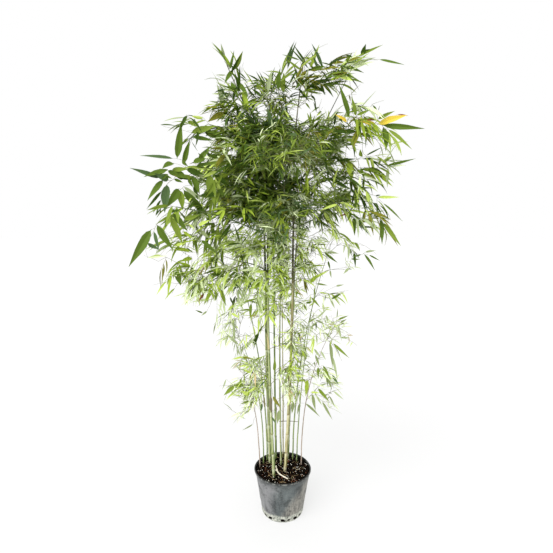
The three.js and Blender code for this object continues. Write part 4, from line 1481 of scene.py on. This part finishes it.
        (-378, 1150, -406, 1176, 8, "forest"), (-360, 1156, -382, 1144, 9, "misty"),
        (-152, 1284, -176, 1238, 9, "forest"), (-124, 1292, -132, 1234, 25, "bright"),
    ],
}

growing = {
    "firstSeed": 300,
    "mostPoints": 20000,        # along the twigs of one mass
    "bareBough": 4,             # rings at the foot of a bough that no twig leaves
    "outside": 0.04,            # how far a leaf's tip may reach out of the masses
    "limbEnd": 0.04,            # a limb that ends this near a mass, or in it, ends in a spray
    "clumpMiddle": (-0.03, 0.0, 0.0),   # sprays point away from the upright line through this
    "candidates": 4,            # places tried for each spray, of which the loneliest is taken
    "drawnBack": 4,             # times a spray that reaches out of the crown is drawn back
    "overhang": 0.012,
    "jointAside": 0.12,         # how near a mass a culm's joint has to be to feed it, aside and in height
    "jointBelow": 0.22,
    "fewestJoints": 6,          # the nearest ones feed a mass that has none so near
    "joined": 0.003,            # a spray this near a twig needs none of its own
    "detour": 0.3,              # how much the way already gone counts against a starting point
    "twigStep": 0.03,
    "twigRadius": 0.00042,      # of a twig that carries nothing, and what its leaves add
    "twigThickens": 0.00011,
    "gapForLeaves": 0.85,       # a leaf whose middle lies within this share of a gap's radius is dropped
}


class Room:
    # a closed CAD solid that can say how deep inside it a point lies
    def __init__(self, names):
        points = []
        faces = []
        count = 0
        for name in names:
            mesh = frame["nodes"][name].data
            mesh.calc_loop_triangles()
            own = np.zeros(len(mesh.loop_triangles) * 3, np.int32)
            mesh.loop_triangles.foreach_get("vertices", own)
            points.append(nodePoints(name))
            faces.append(own.reshape(-1, 3) + count)
            count += len(points[-1])
        self.points = np.concatenate(points)
        self.faces = np.concatenate(faces)
        self.low = self.points.min(0)
        self.high = self.points.max(0)
        self.finder = BVHTree.FromPolygons(self.points.tolist(), self.faces.tolist())

    def litres(self):
        a, b, c = (self.points[self.faces[:, k]] for k in range(3))
        return abs((a * np.cross(b, c)).sum()) / 6 * 1000

    def depth(self, point):
        # metres inside (positive) or outside (negative)
        place, normal, _, distance = self.finder.find_nearest(Vector(point))
        return math.copysign(distance, (place - Vector(point)).dot(normal))

    def someInside(self, count, deep, reach, rng):
        # spread points: each is the loneliest of a few candidates
        found = []
        for _ in range(count):
            best = None
            for _ in range(growing["candidates"]):
                point = self.oneInside(deep, reach, rng)
                gap = min((np.linalg.norm(point - f) for f in found[-60:]), default=1)
                if best is None or gap > best[0]:
                    best = (gap, point)
            found.append(best[1])
        return found

    def oneInside(self, deep, reach, rng):
        # reach below 1 keeps the points away from the end farthest from the culms
        far = self.points[np.argmax(np.linalg.norm(self.points[:, :2], axis=1)), :2]
        out = unit(far)
        span = self.points[:, :2] @ out
        limit = span.min() + reach * (span.max() - span.min())
        for _ in range(200):
            point = rng.uniform(self.low, self.high)
            if point[:2] @ out < limit and self.depth(point) > deep:
                return point
        return (self.low + self.high) / 2


class Growth:
    # twigs that reach from the limbs to each spray, each new one from the best place so far
    def __init__(self):
        most = growing["mostPoints"]
        self.place = np.zeros((most, 3))
        self.heading = np.zeros((most, 3))
        self.way = np.zeros(most)       # how far each point is from its limb, along the twigs
        self.parent = np.full(most, -1)
        self.load = np.zeros(most)      # how many leaves each point carries
        self.count = 0
        self.runs = []

    def put(self, place, heading, way, parent):
        at = self.count
        self.place[at] = place
        self.heading[at] = heading
        self.way[at] = way
        self.parent[at] = parent
        self.count += 1
        return at

    def reach(self, target, end, leaves):
        # grows one twig that arrives at target heading along end
        gap = target - self.place[:self.count]
        distance = np.linalg.norm(gap, axis=1)
        if distance.min() < growing["joined"]:
            return end
        along = (gap * self.heading[:self.count]).sum(1) / np.maximum(distance, 1e-6)
        cost = distance * (1.5 - 0.5 * along) + growing["detour"] * self.way[:self.count]
        start = int(np.argmin(cost))
        length = distance[start]
        end = unit(0.6 * end + gap[start] / length)
        steps = max(2, int(length / growing["twigStep"]))
        first = self.place[start]
        ahead = first + self.heading[start] * length * 0.4
        back = target - end * length * 0.3
        share = np.linspace(0, 1, steps + 1)[1:, None]
        line = ((1 - share) ** 3 * first + 3 * share * (1 - share) ** 2 * ahead
                + 3 * share**2 * (1 - share) * back + share**3 * target)
        headings = unit(np.diff(np.vstack([first, line]), axis=0))
        run = [start]
        for place, heading in zip(line, headings):
            way = self.way[run[-1]] + np.linalg.norm(place - self.place[run[-1]])
            run.append(self.put(place, heading, way, run[-1]))
        self.runs.append(run)
        at = run[-1]
        while at >= 0:
            self.load[at] += leaves
            at = self.parent[at]
        return self.heading[run[-1]]

    def tubes(self, shape):
        for run in self.runs:
            radii = growing["twigRadius"] + growing["twigThickens"] * np.sqrt(self.load[run])
            radii[0] = min(radii[0], radii[1] * 1.15)
            shape.add(*tube(self.place[run], radii, 4, closed=False))


def leafMeshes(shape, leaves):
    # every leaf of one mass at once, each folded along its midrib, bent and twisted
    t = np.array(leafShape["along"])
    breadth = np.array(leafShape["breadth"])
    column = lambda key: np.array([leaf[key] for leaf in leaves], float)
    base = column("base")
    ahead = unit(column("ahead"))
    up = across(column("up"), ahead)
    length = column("length")[:, None]
    bend = column("bend")[:, None] * t**1.2
    steps = np.diff(t, prepend=0)
    forward = np.cumsum(steps * np.cos(bend), 1) * length
    down = np.cumsum(steps * np.sin(bend), 1) * length
    middle = base[:, None] + forward[..., None] * ahead[:, None] - down[..., None] * up[:, None]
    bladeUp = np.cos(bend)[..., None] * up[:, None] + np.sin(bend)[..., None] * ahead[:, None]
    side = np.cross(ahead, up)[:, None]
    turn = (column("twist")[:, None] * t)[..., None]
    bladeSide = np.cos(turn) * side + np.sin(turn) * bladeUp
    bladeUp = np.cos(turn) * bladeUp - np.sin(turn) * side
    half = breadth * column("slim")[:, None] * length / 2
    fold = leafShape["fold"] * column("folding")[:, None]
    out = (half * np.cos(fold))[..., None] * bladeSide
    lift = (half * np.sin(fold))[..., None] * bladeUp
    wave = 1 + 0.06 * np.sin(9 * t + column("twist")[:, None] * 20)[..., None]
    rows = np.stack([middle + out * wave + lift, middle, middle - out / wave + lift], 2)
    count, stations = len(leaves), len(t)
    points = rows.reshape(count, stations * 3, 3)
    keep = [k for k in range(stations * 3) if k not in ((stations - 1) * 3, stations * 3 - 1)]
    points = points[:, keep]
    perLeaf = len(keep)
    tip = perLeaf - 1
    quads = []
    for i in range(stations - 2):
        a = 3 * i
        quads += [(a, a + 3, a + 4, a + 1), (a + 1, a + 4, a + 5, a + 2)]
    a = 3 * (stations - 2)
    thirds = [(a, tip, a + 1), (a + 1, tip, a + 2)]
    starts = (np.arange(count) * perLeaf)[:, None, None]
    tints = column("tint").astype(int)
    crease = np.zeros(perLeaf)
    crease[1::3] = 1
    crease[tip] = 1
    shape.add(points.reshape(-1, 3),
              [(starts + np.array(quads)).reshape(-1, 4), (starts + np.array(thirds)).reshape(-1, 3)],
              slot=[np.repeat(tints, len(quads)), np.repeat(tints, len(thirds))],
              crease=np.tile(crease, count))


def fanOfLeaves(foot, heading, kind, tint, rng, count):
    # leaves in two ranks on the last stretch of a twig, the lowest ones most open
    up = unit(upward + rng.normal(0, fanShape["lean"], 3))
    side = unit(np.cross(heading, up))
    rank = 1 if rng.random() < 0.5 else -1
    stem = [foot]
    leaves = []
    way = heading
    for i in range(count):
        share = i / max(1, count - 1)
        opening = (1 - share) * rng.uniform(*fanShape["opening"]) + fanShape["leastOpen"]
        rank = -rank
        stray = rng.normal(0, fanShape["stray"], 3)
        ahead = unit(way * math.cos(opening) + side * rank * math.sin(opening) + stray)
        ahead = unit(ahead - upward * kind["droop"] * rng.uniform(*fanShape["droop"]))
        roll = rng.normal(0, fanShape["roll"])
        face = across(upward + 0.25 * up, ahead)
        face = unit(face * math.cos(roll) + np.cross(ahead, face) * math.sin(roll))
        size = (0.72 + 0.5 * share - 0.32 * share**3) * rng.uniform(*fanShape["size"])
        leaves.append({
            "base": stem[-1], "ahead": ahead, "up": face, "length": kind["length"] * size,
            "slim": kind["slim"] * rng.uniform(*fanShape["slim"]),
            "bend": abs(rng.normal(0, fanShape["bend"])) + 0.1,
            "twist": rng.normal(0, fanShape["twist"]),
            "folding": rng.uniform(*fanShape["folding"]), "tint": tint,
        })
        way = unit(way - upward * 0.05 * kind["droop"] + side * rank * 0.08)
        stem.append(stem[-1] + way * rng.uniform(*fanShape["step"]))
    return leaves, np.array(stem)


def limbStarts(growth, name, room):
    # where twigs may leave the limbs: along the mass's own bough, or at the joints of near culms
    middle = (room.low + room.high) / 2
    if f"bough {name}" in limbLines:
        line = limbLines[f"bough {name}"][:, :3]
        first = growing["bareBough"]
        for place, ahead in zip(line[first:], np.gradient(line, axis=0)[first:]):
            growth.put(place, unit(ahead), 0, -1)
        return
    for joints in culmJoints.values():
        for row in joints:
            place = row[:3]
            gap = np.maximum(0, np.maximum(room.low - place, place - room.high))
            below = middle[2] - place[2]
            near = np.linalg.norm(gap[:2]) < growing["jointAside"] and gap[2] < growing["jointBelow"]
            if near and below > -0.5 * (room.high[2] - room.low[2]):
                toward = unit((middle - place) * (1, 1, 0))
                growth.put(place, unit(0.7 * toward + 0.7 * upward), 0, -1)
    if growth.count == 0:
        rows = np.concatenate(list(culmJoints.values()))
        order = np.argsort(np.linalg.norm(rows[:, :3] - middle, axis=1))
        for row in rows[order[:growing["fewestJoints"]]]:
            growth.put(row[:3], unit(unit(middle - row[:3]) + 0.5 * upward), 0, -1)


def leafSetByHand(mass, row, rng):
    slope, offset = leafPlanes[mass]
    footX, footHeight, tipX, tipHeight, width, tint = row
    foot = np.array((footX, slope * footX + offset, footHeight)) / 1000
    tip = np.array((tipX, slope * tipX + offset - tipsForward, tipHeight)) / 1000
    length = np.linalg.norm(tip - foot)
    ahead = (tip - foot) / length
    face = across(np.array((0, -1, 0.4)) + rng.normal(0, 0.3, 3), ahead)
    bend = rng.uniform(-0.1, 0.3)
    return {
        "base": foot, "ahead": unit(ahead + 0.5 * bend * face), "up": face, "length": length,
        "slim": width / 1000 / length, "bend": bend, "twist": rng.normal(0, 0.2),
        "folding": rng.uniform(0.5, 1.2), "tint": tintNames.index(tint),
    }


def seenFromFront(places):
    # where places show on the upright plane through the middle of the pot
    eye = np.array(view["eye"])
    return eye + (places - eye) * eye[1] / (eye[1] - places[..., 1:2])


def inSkyGap(place, share=1.0):
    seenX, _, height = seenFromFront(place) * 1000
    return any(math.hypot(seenX - x, height - z) < share * radius for x, z, radius in skyGaps)


def hidesCane(place):
    for name, (low, high, breadth) in bareCanes.items():
        line = limbLines[name]
        seen = seenFromFront(line[:, :3])
        x, _, z = seenFromFront(place)
        at = np.interp(z, seen[:, 2], seen[:, 0])
        if low < z < high and abs(x - at) < breadth and place[1] < np.interp(z, seen[:, 2], line[:, 1]):
            return True
    return False


def grownSprays(room, kind, fill, reach, crown, rng):
    # where a mass's sprays stand, and which way each one points
    average = sum(kind["leaves"]) / 2 - 0.5     # the upper count itself is never drawn
    count = int(round(room.litres() * kind["perLitre"] * fill / average))
    sprays = []
    for target in room.someInside(count, kind["deep"], reach, rng):
        outward = unit((target - growing["clumpMiddle"]) * (1, 1, 0) + 1e-6)
        heading = unit(outward * kind["outward"] + upward * kind["rise"] + rng.normal(0, kind["wander"], 3))
        for _ in range(growing["drawnBack"]):
            over = -crown.depth(target + heading * kind["length"] * 1.25) - growing["overhang"]
            if over > 0:
                target = target - heading * over
        if not inSkyGap(target):
            sprays.append((target, heading, "grown"))
    for line in limbLines.values():
        end = line[-1, :3]
        if room.depth(end) > -growing["limbEnd"]:
            sprays.append((end, unit(end - line[-3, :3] + 0.005 * upward), "grown"))
    return sprays


def fringeSprays(name, rng):
    sprays = []
    for start, end, count, aside, rise in fringes.get(name, []):
        for share in (np.arange(count) + 0.5) / count:
            along = np.array(start) * (1 - share) + np.array(end) * share
            place = along + rng.normal(0, fringeSpread, 3)
            heading = unit(np.array((aside, 0, rise)) + rng.normal(0, 0.35, 3))
            sprays.append((place / 1000, heading, "fringe"))
    return sprays


def kindAt(place, sort, kindName, room):
    # the kind of a spray: in a dark mass, sprays far to the side are lighter, painted light, and deep ones
    # darker, painted shade
    kind = leafKinds[kindName]
    left, right = kind["darkSpan"]
    if not left < place[0] < right:
        return "flank"
    return "inner" if sort == "grown" and room.depth(place) > kind["innerFrom"] else kindName


def growMass(name, crown, part, rng):
    # grows the twigs of one mass into part and gives back its leaves
    kindName, fill, reach = massRules[name]
    kind = leafKinds[kindName]
    room = Room([f"leaves_{name}"])
    growth = Growth()
    limbStarts(growth, name, room)
    root = growth.place[:growth.count].mean(0)
    mixes = {k: tintChooser(tintMixes[leafKinds[k]["tints"]]) for k in (kindName, "inner", "flank")}
    leaves = [leafSetByHand(name, row, rng) for row in placedLeaves.get(name, [])]
    wanted = [(leaf["base"], leaf["ahead"], "placed") for leaf in leaves]
    wanted += grownSprays(room, kind, fill, reach, crown, rng)
    wanted += fringeSprays(name, rng)
    wanted.sort(key=lambda spray: np.linalg.norm(spray[0] - root))
    for target, heading, sort in wanted:
        count = 1 if sort == "placed" else int(rng.integers(*kind["leaves"]))
        ownKind = kindAt(target, sort, kindName, room)
        tints, weights = mixes[ownKind]
        tint = tintNames.index(tints[rng.choice(len(tints), p=weights)])
        if sort == "fringe":
            count = fringeLeaves
        came = growth.reach(target, heading, count)
        if sort == "placed":
            continue
        way = unit(came + heading * (3 if sort == "fringe" else 1))
        grown, stem = fanOfLeaves(target, way, leafKinds[ownKind], tint, rng, count)
        leaves += [leaf for leaf in grown if mayStay(leaf, crown)]
        part.add(*tube(stem, np.linspace(*leafShape["stem"], len(stem)), 3, closed=False))
    growth.tubes(part)
    print(f"  {name}: {len(leaves)} leaves, {len(wanted)} twigs, {room.litres():.0f} litres")
    return leaves


def mayStay(leaf, crown):
    # whether a leaf keeps inside the crown's outline, and clear of the bare canes and the gaps
    middle = leaf["base"] + leaf["ahead"] * leaf["length"] / 2
    inside = crown.depth(leaf["base"] + leaf["ahead"] * leaf["length"]) > -growing["outside"]
    return inside and not hidesCane(middle) and not inSkyGap(middle, growing["gapForLeaves"])


def buildFoliage():
    crown = Room([node for node in frame["nodes"] if node.startswith("leaves_")])
    finishes = [plainFinish(f"leaf {name}", code, duller.get(name, leafRoughness), leafShape["shine"])
                for name, code in leafTints.items()]
    twigs = {"upper": Shape(), "lower": Shape()}
    total = 0
    for index, (name, (kindName, _, _)) in enumerate(massRules.items()):
        level = "upper" if leafKinds[kindName]["tints"] in ("dark", "middle", "flank") else "lower"
        rng = np.random.default_rng(growing["firstSeed"] + index)
        leaves = growMass(name, crown, twigs[level], rng)
        shape = Shape()
        leafMeshes(shape, leaves)
        piece = shape.piece(f"foliage_{name}", finishes)
        standFor(piece, slotOfNode[f"leaves_{name}"], f"leaves_{name}")
        total += len(leaves)
    for level, shape in twigs.items():
        piece = shape.piece(f"twigs_{level}", [plainFinish(f"{level} twig", leafShape[f"{level}Twigs"], 0.5)])
        standFor(piece, "bough")
        print(f"  {level} twigs:", len(piece.data.polygons), "faces")
    perLeaf = 4 * len(leafShape["along"]) - 6
    print("foliage:", total, "leaves,", total * perLeaf, "triangles")


buildFoliage()
